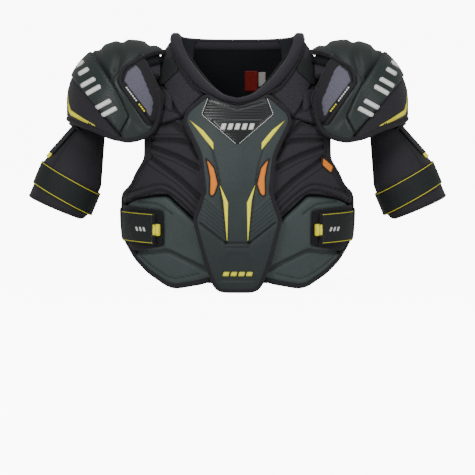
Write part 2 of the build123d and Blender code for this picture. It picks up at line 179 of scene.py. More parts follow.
def curve_through(at: Array, knots: Array, values: Array) -> Array:
    """Interpolates smoothly between values given at knots.

    Args:
        at: where to read the curve.
        knots: where it is given.
        values: what it is there.

    Returns:
        The curve's values.
    """
    slope = np.gradient(values, knots)
    i = np.clip(np.searchsorted(knots, at) - 1, 0, len(knots) - 2)
    span = knots[i + 1] - knots[i]
    t = (at - knots[i]) / span
    lead = (1 + 2 * t) * (1 - t) ** 2 * values[i] + t * (1 - t) ** 2 * span * slope[i]
    return lead + t**2 * (3 - 2 * t) * values[i + 1] + t**2 * (t - 1) * span * slope[i + 1]


# ------------------------------------------------------------------ the forms that are wrapped


@dataclass(frozen=True)
class TorsoForm:
    """The torso that the vest wraps: ellipses whose size changes with height."""

    heights: tuple[float, ...] = (0.0, 61.5, 123.0, 180.4, 239.85, 299.3, 348.5, 385.4, 410.0)
    widths: tuple[float, ...] = (155.7, 167.8, 173.0, 170.4, 160.9, 143.6, 123.7, 103.8, 88.2)
    depths: tuple[float, ...] = (108.0, 115.6, 119.8, 119.2, 110.9, 93.2, 70.8, 50.7, 37.8)
    centres: tuple[float, ...] = (0.0, 0.0, 0.0, 0.0, 3.54, 9.44, 15.34, 20.06, 22.42)

    def section(self, z: Array) -> tuple[Array, Array, Array]:
        """Half width, half depth and centre of the torso at the heights z.

        Args:
            z: heights, in millimetres.

        Returns:
            The half widths, half depths and centres.
        """
        level = np.clip(np.asarray(z, float), 0, 410)
        knots = np.array(self.heights)
        return tuple(
            curve_through(level, knots, np.array(row))
            for row in (self.widths, self.depths, self.centres)
        )

    def clearance(self, points: Array, grow: float) -> Array:
        """How far outside the torso, grown by grow, points are, as a share of its size.

        Args:
            points: places in space.
            grow: how much thicker the torso is taken.

        Returns:
            Zero on the grown torso, more outside it.
        """
        a, b, c = self.section(points[:, 2])
        across = (points[:, 0] / (a + grow)) ** 2 + ((points[:, 1] - c) / (b + grow)) ** 2
        return np.sqrt(across) - 1


TORSO = TorsoForm()
KNEE = 0.97
KNEE_ANGLE = math.asin(KNEE)
KNEE_SLOPE = 4.11


@dataclass(frozen=True)
class TorsoChart:
    """Unrolls the front or the back of the vest to a flat pattern.

    A pattern point is the distance round the torso and the height. Outlines are given as
    seen from the front, and go on past the torso's widest place at a steady rate.
    """

    rear: bool = False
    lift: float = PAD_OUT
    unroll: float = 165.0

    def flatten(self, seen: Array) -> Array:
        """Turns points as seen from the front into pattern points.

        Args:
            seen: places across and up, as seen from the front.

        Returns:
            The pattern points.
        """
        a = TORSO.section(seen[:, 1])[0] + self.lift
        share = np.abs(seen[:, 0]) / a
        angle = np.where(
            share < KNEE,
            np.arcsin(np.minimum(share, KNEE)),
            KNEE_ANGLE + (share - KNEE) * KNEE_SLOPE,
        )
        return np.stack([np.sign(seen[:, 0]) * angle * self.unroll, seen[:, 1]], axis=1)

    def place(self, flat: Array, height: Array) -> Array:
        """Puts pattern points on the torso, height millimetres off it.

        Args:
            flat: pattern points.
            height: how far off the torso each lies.

        Returns:
            Their places in space.
        """
        a, b, c = TORSO.section(flat[:, 1])
        angle = flat[:, 0] / self.unroll
        toward = 1.0 if self.rear else -1.0
        x = (a + height) * np.sin(angle)
        y = c + toward * (b + height) * np.cos(angle)
        return np.stack([x, y, flat[:, 1]], axis=1)


@dataclass(frozen=True)
class ArmChart:
    """Unrolls an arm guard. A point is an angle round the arm and a height along it."""

    x: float = 224.0
    z: float = 287.0
    splay: float = math.radians(23.0)
    top: Point = (16.0, -10.0)
    flare: Point = (52.0, -112.0)
    unroll: float = 50.0

    def radius(self, height: Array) -> Array:
        """The guard's outer radius at heights along the arm."""
        share = (self.top[1] - height) / (self.top[1] - self.flare[1])
        return self.top[0] + np.clip(share, 0, 1) * (self.flare[0] - self.top[0])

    def flatten(self, seen: Array) -> Array:
        """Turns degrees round the arm, from the front outwards, into pattern points."""
        return np.stack([np.radians(seen[:, 0]) * self.unroll, seen[:, 1]], axis=1)

    def to_world(self, local: Array) -> Array:
        """Tilts points from the arm's own frame out to the shoulder.

        Args:
            local: places in the arm's frame.

        Returns:
            The places on the shoulder.
        """
        c, s = math.cos(self.splay), math.sin(self.splay)
        x = self.x + local[:, 0] * c - local[:, 2] * s
        z = self.z + local[:, 0] * s + local[:, 2] * c
        return np.stack([x, SEAM_Y + local[:, 1], z], axis=1)

    def place(self, flat: Array, height: Array) -> Array:
        """Puts pattern points on the arm, height millimetres off the guard's outer face.

        Args:
            flat: pattern points.
            height: how far off the guard each lies.

        Returns:
            Their places in space.
        """
        angle = flat[:, 0] / self.unroll - math.pi / 2
        r = self.radius(flat[:, 1]) + height
        return self.to_world(np.stack([r * np.cos(angle), r * np.sin(angle), flat[:, 1]], axis=1))


def past(angle: float, z: float, lift: float = PAD_OUT) -> Point:
    """An outline point at an angle round the torso, in degrees from the front.

    Args:
        angle: how far round the torso, in degrees.
        z: the height.
        lift: the layer whose outline it is for.

    Returns:
        The outline point.
    """
    turn = math.radians(angle)
    ratio = math.sin(turn) if turn < KNEE_ANGLE else KNEE + (turn - KNEE_ANGLE) / KNEE_SLOPE
    return ratio * (float(TORSO.section(np.array(z))[0]) + lift), z


Chart = TorsoChart | ArmChart


def along(
    chart: Chart, points: Sequence[Point], lift: float, gap: float = 3.0,
    closed: bool = False, corner: float = 6.0,
) -> tuple[Array, Array]:
    """Draws a line on a form.

    Args:
        chart: the form's chart.
        points: the line's corners, as the chart's outlines are given.
        lift: how far off the form it runs.
        gap: the distance between its points.
        closed: True if it closes on itself.
        corner: how far its corners are rounded.

    Returns:
        The line's points and the form's normals there, in millimetres.
    """
    seen = resample(soften(points, corner, closed), 2.0, closed)
    flat = resample(chart.flatten(seen), gap, closed)
    spots = chart.place(flat, np.full(len(flat), lift))
    normals = chart.place(flat, np.full(len(flat), lift + 1.0)) - spots
    return spots, normals / np.linalg.norm(normals, axis=1)[:, None]


# ------------------------------------------------------------------ finishes


def linear(code: str) -> tuple[float, float, float, float]:
    """Turns an sRGB hex colour into the scene's linear colour."""
    parts = [int(code[i : i + 2], 16) / 255 for i in (0, 2, 4)]
    return (*[p / 12.92 if p < 0.04045 else ((p + 0.055) / 1.055) ** 2.4 for p in parts], 1.0)


class Graph:
    """A node tree that is filled in a line at a time."""

    def __init__(self, tree: bpy.types.NodeTree) -> None:
        """Starts from a tree."""
        self.tree = tree

    def add(self, kind: str, settings: dict | None = None, **inputs: object) -> bpy.types.Node:
        """Adds a node.

        Args:
            kind: the node's type, without its common start.
            settings: the node's own properties.
            **inputs: values or sockets for its inputs; i0 means input 0.

        Returns:
            The node.
        """
        node = self.tree.nodes.new("ShaderNode" + kind)
        for key, value in (settings or {}).items():
            setattr(node, key, value)
        for key, value in inputs.items():
            spot = int(key[1:]) if key[0] == "i" and key[1:].isdigit() else key.replace("_", " ")
            socket = node.inputs[spot]
            if isinstance(value, bpy.types.NodeSocket):
                self.tree.links.new(value, socket)
            else:
                socket.default_value = value
        return node

    def math(self, operation: str, *values: object, clamp: bool = False) -> bpy.types.NodeSocket:
        """Adds a math node and gives its result.

        Args:
            operation: the node's operation.
            values: its inputs.
            clamp: True to keep the result between 0 and 1.

        Returns:
            The result's socket.
        """
        inputs = {f"i{k}": value for k, value in enumerate(values)}
        settings = {"operation": operation, "use_clamp": clamp}
        return self.add("Math", settings, **inputs).outputs[0]

    def mix(self, factor: object, first: object, second: object) -> bpy.types.NodeSocket:
        """Adds a colour mix and gives its result."""
        node = self.add("Mix", {"data_type": "RGBA"}, i0=factor, i6=first, i7=second)
        return node.outputs[2]


def new_group(
    name: str, inputs: dict[str, tuple[str, object]], outputs: dict[str, str]
) -> tuple[bpy.types.NodeTree, Graph, bpy.types.Node, bpy.types.Node]:
    """Starts a shader node group.

    Args:
        name: the group's name.
        inputs: each input's socket type and default.
        outputs: each output's socket type.

    Returns:
        The group, its graph, its input node and its output node.
    """
    tree = bpy.data.node_groups.new(name, "ShaderNodeTree")
    for key, (kind, default) in inputs.items():
        socket = tree.interface.new_socket(key, in_out="INPUT", socket_type="NodeSocket" + kind)
        if default is not None:
            socket.default_value = default
    for key, kind in outputs.items():
        tree.interface.new_socket(key, in_out="OUTPUT", socket_type="NodeSocket" + kind)
    start, end = tree.nodes.new("NodeGroupInput"), tree.nodes.new("NodeGroupOutput")
    return tree, Graph(tree), start, end


class Surface(Enum):
    """How a finish's surface is worked, by its node group."""

    PLAIN = "fine grain"
    RIBBED = "ribbed mesh"
    KNURLED = "knurled emboss"
    WOVEN = "plain weave"
    WEBBED = "webbing"
    MELANGE = "flecked knit"
    STRIPED = "moulded lines"


def stripe(graph: Graph, value: object, pitch: object) -> bpy.types.NodeSocket:
    """A smooth stripe from 0 to 1 that repeats every pitch."""
    turn = graph.math("MULTIPLY", graph.math("DIVIDE", value, pitch), 2 * math.pi)
    return graph.math("MULTIPLY_ADD", graph.math("SINE", turn), 0.5, 0.5)


def surface_group(surface: Surface) -> bpy.types.NodeTree:
    """Builds or finds the node group of a worked surface.

    Args:
        surface: which one.

    Returns:
        A group that takes a pattern vector, a pitch and an angle, and gives a height.
    """
    name = "surface " + surface.value
    if name in bpy.data.node_groups:
        return bpy.data.node_groups[name]
    tree, graph, start, end = new_group(
        name,
        {"Vector": ("Vector", None), "Pitch": ("Float", 0.003), "Angle": ("Float", 0.0)},
        {"Height": "Float"},
    )
    turned = graph.add(
        "VectorRotate", {"rotation_type": "Z_AXIS"},
        Vector=start.outputs["Vector"], Angle=start.outputs["Angle"],
    )
    split = graph.add("SeparateXYZ", Vector=turned.outputs[0])
    x, y, pitch = split.outputs[0], split.outputs[1], start.outputs["Pitch"]
    across, down = stripe(graph, x, pitch), stripe(graph, y, pitch)
    if surface is Surface.RIBBED:
        fine = stripe(graph, y, graph.math("MULTIPLY", pitch, 0.55))
        height = graph.math("MULTIPLY_ADD", fine, 0.35, graph.math("MULTIPLY", across, 0.65))
    elif surface is Surface.KNURLED:
        one = stripe(graph, graph.math("ADD", x, y), pitch)
        two = stripe(graph, graph.math("SUBTRACT", x, y), pitch)
        height = graph.math("MULTIPLY", one, two)
    elif surface is Surface.WOVEN:
        height = graph.math("ABSOLUTE", graph.math("SUBTRACT", across, down))
    elif surface is Surface.WEBBED:
        shifted = graph.math("ADD", y, graph.math("MULTIPLY", across, 0.001))
        height = graph.math("MULTIPLY_ADD", stripe(graph, shifted, pitch), 0.7,
                            graph.math("MULTIPLY", across, 0.3))
    elif surface is Surface.STRIPED:
        height = graph.math("POWER", across, 0.6)
    else:
        scale = graph.math("DIVIDE", 0.7, pitch)
        detail = 4.0 if surface is Surface.MELANGE else 2.0
        stretched = graph.add("VectorMath", {"operation": "MULTIPLY"}, i0=turned.outputs[0],
                              i1=(1.0, 0.7, 1.0) if surface is Surface.MELANGE else (1, 1, 1))
        cloud = graph.add("TexNoise", Vector=stretched.outputs[0], Scale=scale, Detail=detail)
        height = graph.math("MULTIPLY_ADD", graph.math("SUBTRACT", cloud.outputs[0], 0.5),
                            2.6, 0.5, clamp=True)
    tree.links.new(height, end.inputs["Height"])
    return tree


def wear_group() -> bpy.types.NodeTree:
    """Builds or finds the group that gives edge wear, painted shade along seams and grooves, and cloudy
    random tone as masks.

    Returns:
        The node group.
    """
    name = "wear and shade"
    if name in bpy.data.node_groups:
        return bpy.data.node_groups[name]
    tree, graph, start, end = new_group(
        name,
        {"Position": ("Vector", None), "Seam": ("Float", 0.0), "Wear": ("Float", 0.3)},
        {"Edge": "Float", "Dirt": "Float", "Cloud": "Float"},
    )
    cloud = graph.add("TexNoise", Vector=start.outputs["Position"], Scale=22.0, Detail=4.0)
    patch = graph.add("TexNoise", Vector=start.outputs["Position"], Scale=140.0, Detail=3.0)
    point = graph.add("NewGeometry").outputs["Pointiness"]
    edge = graph.math("MULTIPLY", graph.math("SUBTRACT", point, 0.52), 9.0, clamp=True)
    rough = graph.math("MULTIPLY", graph.math("SUBTRACT", patch.outputs[0], 0.35), 2.5, clamp=True)
    edge = graph.math("MULTIPLY", graph.math("MULTIPLY", edge, rough), start.outputs["Wear"])
    # Painted shade: the Seam mask darkens seams, grooves and pad edges where shade falls, made patchy by
    # noise.
    seam = graph.math("MULTIPLY_ADD", patch.outputs[0], 0.5, 0.6)
    painted_seam_shade = graph.math("MULTIPLY", start.outputs["Seam"], seam, clamp=True)
    tree.links.new(edge, end.inputs["Edge"])
    tree.links.new(painted_seam_shade, end.inputs["Dirt"])
    tree.links.new(cloud.outputs[0], end.inputs["Cloud"])
    return tree


@dataclass(frozen=True)
class Finish:
    """One material: its colours, how its surface is worked, and its gloss."""

    name: str
    colour: str
    shade: str
    surface: Surface = Surface.PLAIN
    pitch: float = 3.0
    angle: float = 0.0
    relief: float = 0.3
    contrast: float = 0.5
    roughness: float = 0.75
    sheen: float = 0.0
    coat: float = 0.0
    wear: float = 0.2
    on_form: bool = True
    # Painted light: emission strength that makes a part shine though it is no lamp.
    painted_glow: float = 0.0
    # Painted shade: how much the colour darkens towards the bottom of the piece.
    fade: float = 0.0

    def material(self) -> bpy.types.Material:
        """Builds or finds the material.

        Returns:
            The material.
        """
        if self.name in bpy.data.materials:
            return bpy.data.materials[self.name]
        material = bpy.data.materials.new(self.name)
        material.use_nodes = True
        graph = Graph(material.node_tree)
        shader = material.node_tree.nodes["Principled BSDF"]
        coords = graph.add("TexCoord")
        flat = coords.outputs["UV" if self.on_form else "Object"]
        seam = graph.add("Attribute", {"attribute_name": "seam"}).outputs["Fac"]
        worked = graph.add("Group", {"node_tree": surface_group(self.surface)}, Vector=flat,
                           Pitch=self.pitch * MM, Angle=math.radians(self.angle))
        worn = graph.add("Group", {"node_tree": wear_group()},
                         Position=coords.outputs["Object"], Seam=seam, Wear=self.wear)
        height = worked.outputs["Height"]
        cloud = graph.math("MULTIPLY_ADD", worn.outputs["Cloud"], 0.5, -0.25)
        tone = graph.math("MULTIPLY_ADD", graph.math("SUBTRACT", height, 0.5), self.contrast,
                          graph.math("ADD", cloud, 0.5), clamp=True)
        colour = graph.mix(tone, linear(self.shade), linear(self.colour))
        # Painted shade: along seams, grooves and pad edges the colour is pulled towards a quarter of the
        # shade colour.
        dark = tuple(c * 0.25 for c in linear(self.shade)[:3]) + (1.0,)
        colour = graph.mix(graph.math("MULTIPLY", worn.outputs["Dirt"], 0.75), colour, dark)
        light = tuple(min(1.0, c * 1.5 + 0.03) for c in linear(self.colour)[:3]) + (1.0,)
        colour = graph.mix(worn.outputs["Edge"], colour, light)
        # Painted shade: below about 0.18 m the colour darkens towards the bottom.
        if self.fade:
            level = graph.add("SeparateXYZ", Vector=coords.outputs["Object"]).outputs[2]
            low = graph.math("MULTIPLY_ADD", level, -6.0, 1.1, clamp=True)
            colour = graph.mix(graph.math("MULTIPLY", low, self.fade), colour, dark)
        rough = graph.math("MULTIPLY_ADD", worn.outputs["Cloud"], 0.16, self.roughness - 0.08)
        rough = graph.math("MULTIPLY_ADD", height, -0.06, rough, clamp=True)
        bump = graph.add("Bump", Height=height, Strength=0.8, Distance=self.relief * MM)
        links = material.node_tree.links
        links.new(colour, shader.inputs["Base Color"])
        links.new(rough, shader.inputs["Roughness"])
        links.new(bump.outputs[0], shader.inputs["Normal"])
        # Painted light: the colour is also emitted, so the part shines brighter than its lighting.
        if self.painted_glow:
            links.new(colour, shader.inputs["Emission Color"])
            shader.inputs["Emission Strength"].default_value = self.painted_glow
        shader.inputs["Specular IOR Level"].default_value = 0.3
        shader.inputs["Sheen Weight"].default_value = self.sheen
        shader.inputs["Sheen Roughness"].default_value = 0.4
        shader.inputs["Coat Weight"].default_value = self.coat
        shader.inputs["Coat Roughness"].default_value = 0.12
        return material


LINING = Finish("lining knit", "14161c", "08090d", Surface.WOVEN, 2.4, 45, 0.2, 0.5, 0.9)
ROLL = Finish("collar brushed cloth", "2c2b32", "201f25", Surface.PLAIN, 1.2, 0, 0.12, 0.3, 0.85, 0.15)
MESH = Finish("ribbed mesh", "2f2c33", "1a191d", Surface.RIBBED, 2.6, 0, 0.4, 0.6, 0.75, 0.1)
KNIT = Finish("flecked knit", "34323a", "1b1a1e", Surface.MELANGE, 1.5, 20, 0.22, 0.7, 0.85, 0.1)
PANEL = Finish("knurled panel cloth", "4b5655", "303938", Surface.KNURLED, 3.4, 0, 0.35, 0.9, 0.55)
# The shield gets painted shade, darker towards its bottom.
SHIELD = Finish("shield moulding", "3f4948", "262e2f", Surface.KNURLED, 3.4, 0, 0.3, 0.8, 0.5, fade=0.5)
GREEN = Finish("cap moulding", "29312f", "1d2423", Surface.PLAIN, 1.6, 0, 0.1, 0.25, 0.45)
LINED = Finish("cap band moulding", "2a3432", "19201f", Surface.STRIPED, 2.6, 62, 0.35, 0.8, 0.42)
DARK = Finish("dark binding tape", "212025", "131216", Surface.WOVEN, 1.6, 45, 0.15, 0.4, 0.8, 0.1)
SKIRT = Finish("skirt cloth", "29272d", "1e1c21", Surface.WOVEN, 2.0, 30, 0.2, 0.4, 0.8, 0.1)
FLAP = Finish("flap cloth", "686776", "4a4854", Surface.MELANGE, 1.2, 70, 0.15, 0.6, 0.8, 0.1)
GUARD = Finish("guard cloth", "27262c", "1c1b20", Surface.WOVEN, 2.2, 45, 0.2, 0.4, 0.78, 0.1)
STRAP = Finish("strap webbing", "171e1d", "0f1414", Surface.WEBBED, 1.9, 90, 0.3, 0.6, 0.7, 0.05)
LOOP = Finish("loop cloth", "17181c", "0b0b0e", Surface.MELANGE, 1.2, 0, 0.3, 0.8, 0.95, 0.15)
# The yellow trim, yellow thread, pale marks and orange mesh shine with painted light.
YELLOW = Finish("yellow trim", "f4ee2e", "dccf1c", Surface.PLAIN, 1.4, 0, 0.1, 0.2, 0.5, painted_glow=0.22)
THREAD = Finish("yellow thread", "e8e036", "a39a22", Surface.STRIPED, 1.2, 60, 0.3, 0.6, 0.7, painted_glow=0.1)
PALE = Finish("pale mark", "f2f2f0", "c8c8c6", Surface.PLAIN, 1.0, 0, 0.1, 0.2, 0.5, painted_glow=0.15)
ORANGE = Finish("orange mesh", "ff9d2e", "cf6c12", Surface.KNURLED, 3.0, 0, 0.4, 0.8, 0.6, painted_glow=0.15)
BADGE = Finish("gloss badge", "14181a", "050607", Surface.STRIPED, 4.4, 90, 0.35, 1.0, 0.38, 0, 0.25, 0.0)
PLASTIC = Finish("black plastic", "1c1d1f", "111214", Surface.PLAIN, 1.2, 0, 0.1, 0.3, 0.5, on_form=False)
RED = Finish("red woven label", "8f1f1c", "6b1512", Surface.WEBBED, 1.2, 0, 0.15, 0.3, 0.6)
WHITE = Finish("white woven label", "c8c6c0", "a19f99", Surface.WEBBED, 1.2, 0, 0.15, 0.4, 0.6)


# ------------------------------------------------------------------ mesh making


def publish(
    bm: bmesh.types.BMesh, name: str, finish: Finish, body: str,
    nodes: Sequence[str] = (), mirrored: bool = False,
) -> bpy.types.Object:
    """Makes a finished piece from a bmesh in metres and gives it to the frame.

    Args:
        bm: the mesh, which is freed.
        name: the piece's name.
        finish: its material.
        body: the body that it rides on.
        nodes: the soft CAD nodes that it stands for.
        mirrored: True to turn it into the other side's piece.

    Returns:
        The piece.
    """
    if mirrored:
        bmesh.ops.scale(bm, vec=(-1, 1, 1), verts=bm.verts)
    bmesh.ops.recalc_face_normals(bm, faces=bm.faces)
    for face in bm.faces:
        face.smooth = True
    mesh = bpy.data.meshes.new(name)
    bm.to_mesh(mesh)
    bm.free()
    piece = bpy.data.objects.new(name, mesh)
    bpy.context.scene.collection.objects.link(piece)
    mesh.materials.append(finish.material())
    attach(piece, body)
    if nodes:
        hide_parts(*nodes)
    log.info("%s on %s, %d faces", name, body, len(mesh.polygons))
    return piece


def close_sheet(bm: bmesh.types.BMesh, outer: Array, inner: Array) -> None:
    """Turns a flat sheet into a closed pad.

    Args:
        bm: the sheet.
        outer: where each vertex goes, in millimetres.
        inner: where its copy on the other face goes.
    """
    layer = bm.verts.layers.float_vector.new("inner")
    for vert, top, bottom in zip(bm.verts, outer, inner):
        vert.co = Vector(top) * MM
        vert[layer] = Vector(bottom) * MM
    made = bmesh.ops.extrude_face_region(bm, geom=bm.faces[:] + bm.edges[:] + bm.verts[:])
    for item in made["geom"]:
        if isinstance(item, bmesh.types.BMVert):
            item.co = item[layer]
    bm.verts.layers.float_vector.remove(layer)


@dataclass(frozen=True)
class Swelling:
    """How the foam in a sewn pad swells its cloth between the seams."""

    cap: float = 3.0
    pressure: float = 4.0
    last_frame: int = 20

    def held(self, bm: bmesh.types.BMesh, tight: Array) -> list[float]:
        """How firmly each vertex is held.

        Args:
            bm: the closed pad, outer face first.
            tight: for each outer vertex, 1 where it is sewn down.

        Returns:
            A weight for each vertex.
        """
        return [float(w) for w in tight] + [1.0] * (len(bm.verts) - len(tight))

    def apply(self, bm: bmesh.types.BMesh, tight: Array, name: str) -> None:
        """Swells the pad by a short cloth simulation and keeps the result.

        Args:
            bm: the closed pad, outer face first.
            tight: for each outer vertex, 1 where it is sewn down.
            name: the pad's name.
        """
        bmesh.ops.recalc_face_normals(bm, faces=bm.faces)
        mesh = bpy.data.meshes.new(name + " cloth")
        bm.to_mesh(mesh)
        cloth = bpy.data.objects.new(name + " cloth", mesh)
        scene = bpy.context.scene
        scene.collection.objects.link(cloth)
        group = cloth.vertex_groups.new(name="held")
        for index, weight in enumerate(self.held(bm, tight)):
            group.add([index], weight, "REPLACE")
        change = cloth.modifiers.new("swell", "CLOTH")
        change.settings.use_pressure = True
        change.settings.uniform_pressure_force = self.pressure
        change.settings.effector_weights.gravity = 0
        change.settings.vertex_group_mass = "held"
        change.settings.quality = 4
        change.collision_settings.use_collision = False
        change.point_cache.frame_start, change.point_cache.frame_end = 1, self.last_frame
        for step in range(1, self.last_frame + 1):
            scene.frame_set(step)
        result = cloth.evaluated_get(bpy.context.evaluated_depsgraph_get()).data
        for vert, moved in zip(bm.verts, result.vertices):
            shift = moved.co - vert.co
            reach = self.cap * MM
            vert.co += shift * (reach / (reach + shift.length))
        scene.frame_set(1)
        bpy.data.objects.remove(cloth)
        bpy.data.meshes.remove(mesh)


SWELLING = Swelling()
SWOLLEN: dict[str, bpy.types.Mesh] = {}


@dataclass(frozen=True)
class Groove:
    """A sewn channel, or with a negative depth a raised rib, along a line."""

    path: tuple[Point, ...]
    depth: float = 3.0
    width: float = 5.0
    floor: float = 1.0
    corner: float = 6.0

    def drop(self, chart: Chart, flat: Array) -> tuple[Array, Array]:
        """How far each pattern point sinks, and how close it is to the seam.

        Args:
            chart: the chart of the piece.
            flat: the piece's pattern points.

        Returns:
            How far each point sinks and how near it is to the seam, from 0 to 1.
        """
        seen = resample(soften(self.path, self.corner, False), 2.0)
        gap = nearest(flat, chart.flatten(seen), False)[0]
        share = 1 - ease((gap - self.floor) / self.width)
        return share * self.depth, np.clip(share, 0, 1) * (1.0 if self.depth > 0 else 0.0)


@dataclass(frozen=True)
class Plateau:
    """A raised or sunk area with sloping sides."""

    outline: tuple[Point, ...]
    height: float
    slope: float = 3.0
    corner: float = 4.0

    def rise(self, chart: Chart, flat: Array) -> Array:
        """How far each pattern point rises.

        Args:
            chart: the chart of the piece.
            flat: the piece's pattern points.

        Returns:
            How far each point rises.
        """
        line = chart.flatten(resample(soften(self.outline, self.corner), 2.0, True))
        gap = nearest(flat, line, True)[0]
        return np.where(inside(flat, line), ease(gap / self.slope), 0) * self.height


@dataclass(frozen=True)
class Panel:
    """A pad or moulding cut from a flat pattern and wrapped over its form."""

    name: str
    chart: Chart
    outline: tuple[Point, ...]
    finish: Finish
    base: float = PAD_IN
    thick: float = 11.6
    edge: float = 0.45
    shoulder: float = 9.0
    crown: float = 0.0
    ripple: float = 0.35
    corner: float = 6.0
    step: float = 3.0
    grooves: tuple[Groove, ...] = ()
    plateaus: tuple[Plateau, ...] = ()
    swells: bool = False

    def sheet(self) -> tuple[bmesh.types.BMesh, Array]:
        """Cuts the flat piece.

        Returns:
            The sheet and its pattern points in millimetres.
        """
        seen = resample(soften(self.outline, self.corner), 2.0, True)
        line = self.chart.flatten(seen)
        low, high = line.min(axis=0) - self.step, line.max(axis=0) + self.step
        cells = np.maximum(((high - low) / self.step).astype(int), 2)
        bm = bmesh.new()
        bmesh.ops.create_grid(bm, x_segments=int(cells[0]), y_segments=int(cells[1]), size=0.5)
        size, middle = high - low, (high + low) / 2
        bmesh.ops.scale(bm, vec=(*size, 1), verts=bm.verts)
        bmesh.ops.translate(bm, vec=(*middle, 0), verts=bm.verts)
        centres = np.array([face.calc_center_median()[:2] for face in bm.faces])
        outside = ~inside(centres, line)
        spare = [face for face, out in zip(bm.faces, outside) if out]
        bmesh.ops.delete(bm, geom=spare, context="FACES")
        rim = [vert for vert in bm.verts if vert.is_boundary]
        spots = nearest(np.array([vert.co[:2] for vert in rim]), line, True)[1]
        for vert, spot in zip(rim, spots):
            vert.co = (*spot, 0)
        free = [vert for vert in bm.verts if not vert.is_boundary]
        for _ in range(2):
            bmesh.ops.smooth_vert(bm, verts=free, factor=0.5, use_axis_x=True, use_axis_y=True)
        return bm, np.array([vert.co[:2] for vert in bm.verts])

    def build(self) -> bmesh.types.BMesh:
        """Cuts, shapes and closes the piece, in metres, on the wearer's left.

        Returns:
            The closed piece.
        """
        if self.name in SWOLLEN:
            bm = bmesh.new()
            bm.from_mesh(SWOLLEN[self.name])
            return bm
        bm, flat = self.sheet()
        line = self.chart.flatten(resample(soften(self.outline, self.corner), 2.0, True))
        gap = nearest(flat, line, True)[0]
        t = np.clip(gap / self.shoulder, 0, 1)
        share = self.edge + (1 - self.edge) * np.sqrt(1 - (1 - t) ** 2)
        height = self.thick * share + self.crown * ease(gap / 30)
        # The seam mask drives painted shade near the pad's edge and, below, in its grooves.
        seam = 0.8 * (1 - ease(gap / 3.5))
        for groove in self.grooves:
            drop, close = groove.drop(self.chart, flat)
            height -= drop
            seam = np.maximum(seam, close)
        for plateau in self.plateaus:
            height += plateau.rise(self.chart, flat)
        if self.ripple:
            for k, (u, v) in enumerate(flat):
                soft = noise.noise((u * 0.03, v * 0.03, 3.0)) + 0.5 * noise.noise((u * 0.09, v * 0.06, 7.0))
                height[k] += self.ripple * soft * t[k]
        height = np.maximum(height, 0.6)
        outer = self.chart.place(flat, self.base + height)
        inner = self.chart.place(flat, np.full(len(flat), self.base))
        uv = bm.loops.layers.uv.new("UVMap")
        mark = bm.verts.layers.float.new("seam")
        for vert, (u, v), close in zip(bm.verts, flat, seam):
            vert[mark] = float(close)
            for loop in vert.link_loops:
                loop[uv].uv = (u * MM, v * MM)
        close_sheet(bm, outer, inner)
        if self.swells:
            tight = np.clip(np.maximum(seam * 1.6, 1 - gap / 6), 0, 1)
            SWELLING.apply(bm, tight, self.name)
            SWOLLEN[self.name] = bpy.data.meshes.new(self.name + " shape")
            bm.to_mesh(SWOLLEN[self.name])
        return bm

    def publish(
        self, body: str, slot: str, nodes: Sequence[str] = (), fill: float | None = None,
        side: Side = Side.LEFT, plain_name: bool = False,
    ) -> bpy.types.Object:
        """Builds the piece for one side and gives it to the frame."""
        name = self.name if plain_name else f"{self.name}_{side.tag}"
        return publish(self.build(), name, self.finish, body, nodes, side is Side.RIGHT)


@dataclass(frozen=True)
class Flash:
    """A thin raised sliver between two edges that meet at its ends."""

    name: str
    left: tuple[Point, ...]
    right: tuple[Point, ...]
    finish: Finish
    base: float = SHIELD_OUT - 0.6
    thick: float = 1.5
    rows: int = 36

    def build(self, chart: "Chart") -> bmesh.types.BMesh:
        """Fills the sliver with a strip of faces and closes it.

        Args:
            chart: the chart that it lies on.

        Returns:
            The closed sliver.
        """
        edges = []
        for edge in (self.left, self.right):
            line = chart.flatten(resample(edge, 1.0))
            spots = np.linspace(0, len(line) - 1, self.rows + 1)
            both = [np.interp(spots, np.arange(len(line)), line[:, k]) for k in (0, 1)]
            edges.append(np.stack(both, axis=1))
        bm = bmesh.new()
        bmesh.ops.create_grid(bm, x_segments=2, y_segments=self.rows, size=1)
        share = np.array([(vert.co.x + 1) / 2 for vert in bm.verts])
        row = np.array([round((vert.co.y + 1) / 2 * self.rows) for vert in bm.verts])
        flat = edges[0][row] * (1 - share)[:, None] + edges[1][row] * share[:, None]
        height = self.thick * (1 - 0.5 * np.abs(share * 2 - 1))
        uv = bm.loops.layers.uv.new("UVMap")
        for vert, (u, v) in zip(bm.verts, flat):
            for loop in vert.link_loops:
                loop[uv].uv = (u * MM, v * MM)
        inner = chart.place(flat, np.full(len(flat), self.base))
        close_sheet(bm, chart.place(flat, self.base + height), inner)
        return bm

    def publish(self, chart: "Chart", body: str, slot: str, side: Side) -> bpy.types.Object:
        """Builds the sliver for one side and gives it to the frame."""
        name = f"{self.name}_{side.tag}"
        return publish(self.build(chart), name, self.finish, body, mirrored=side is Side.RIGHT)


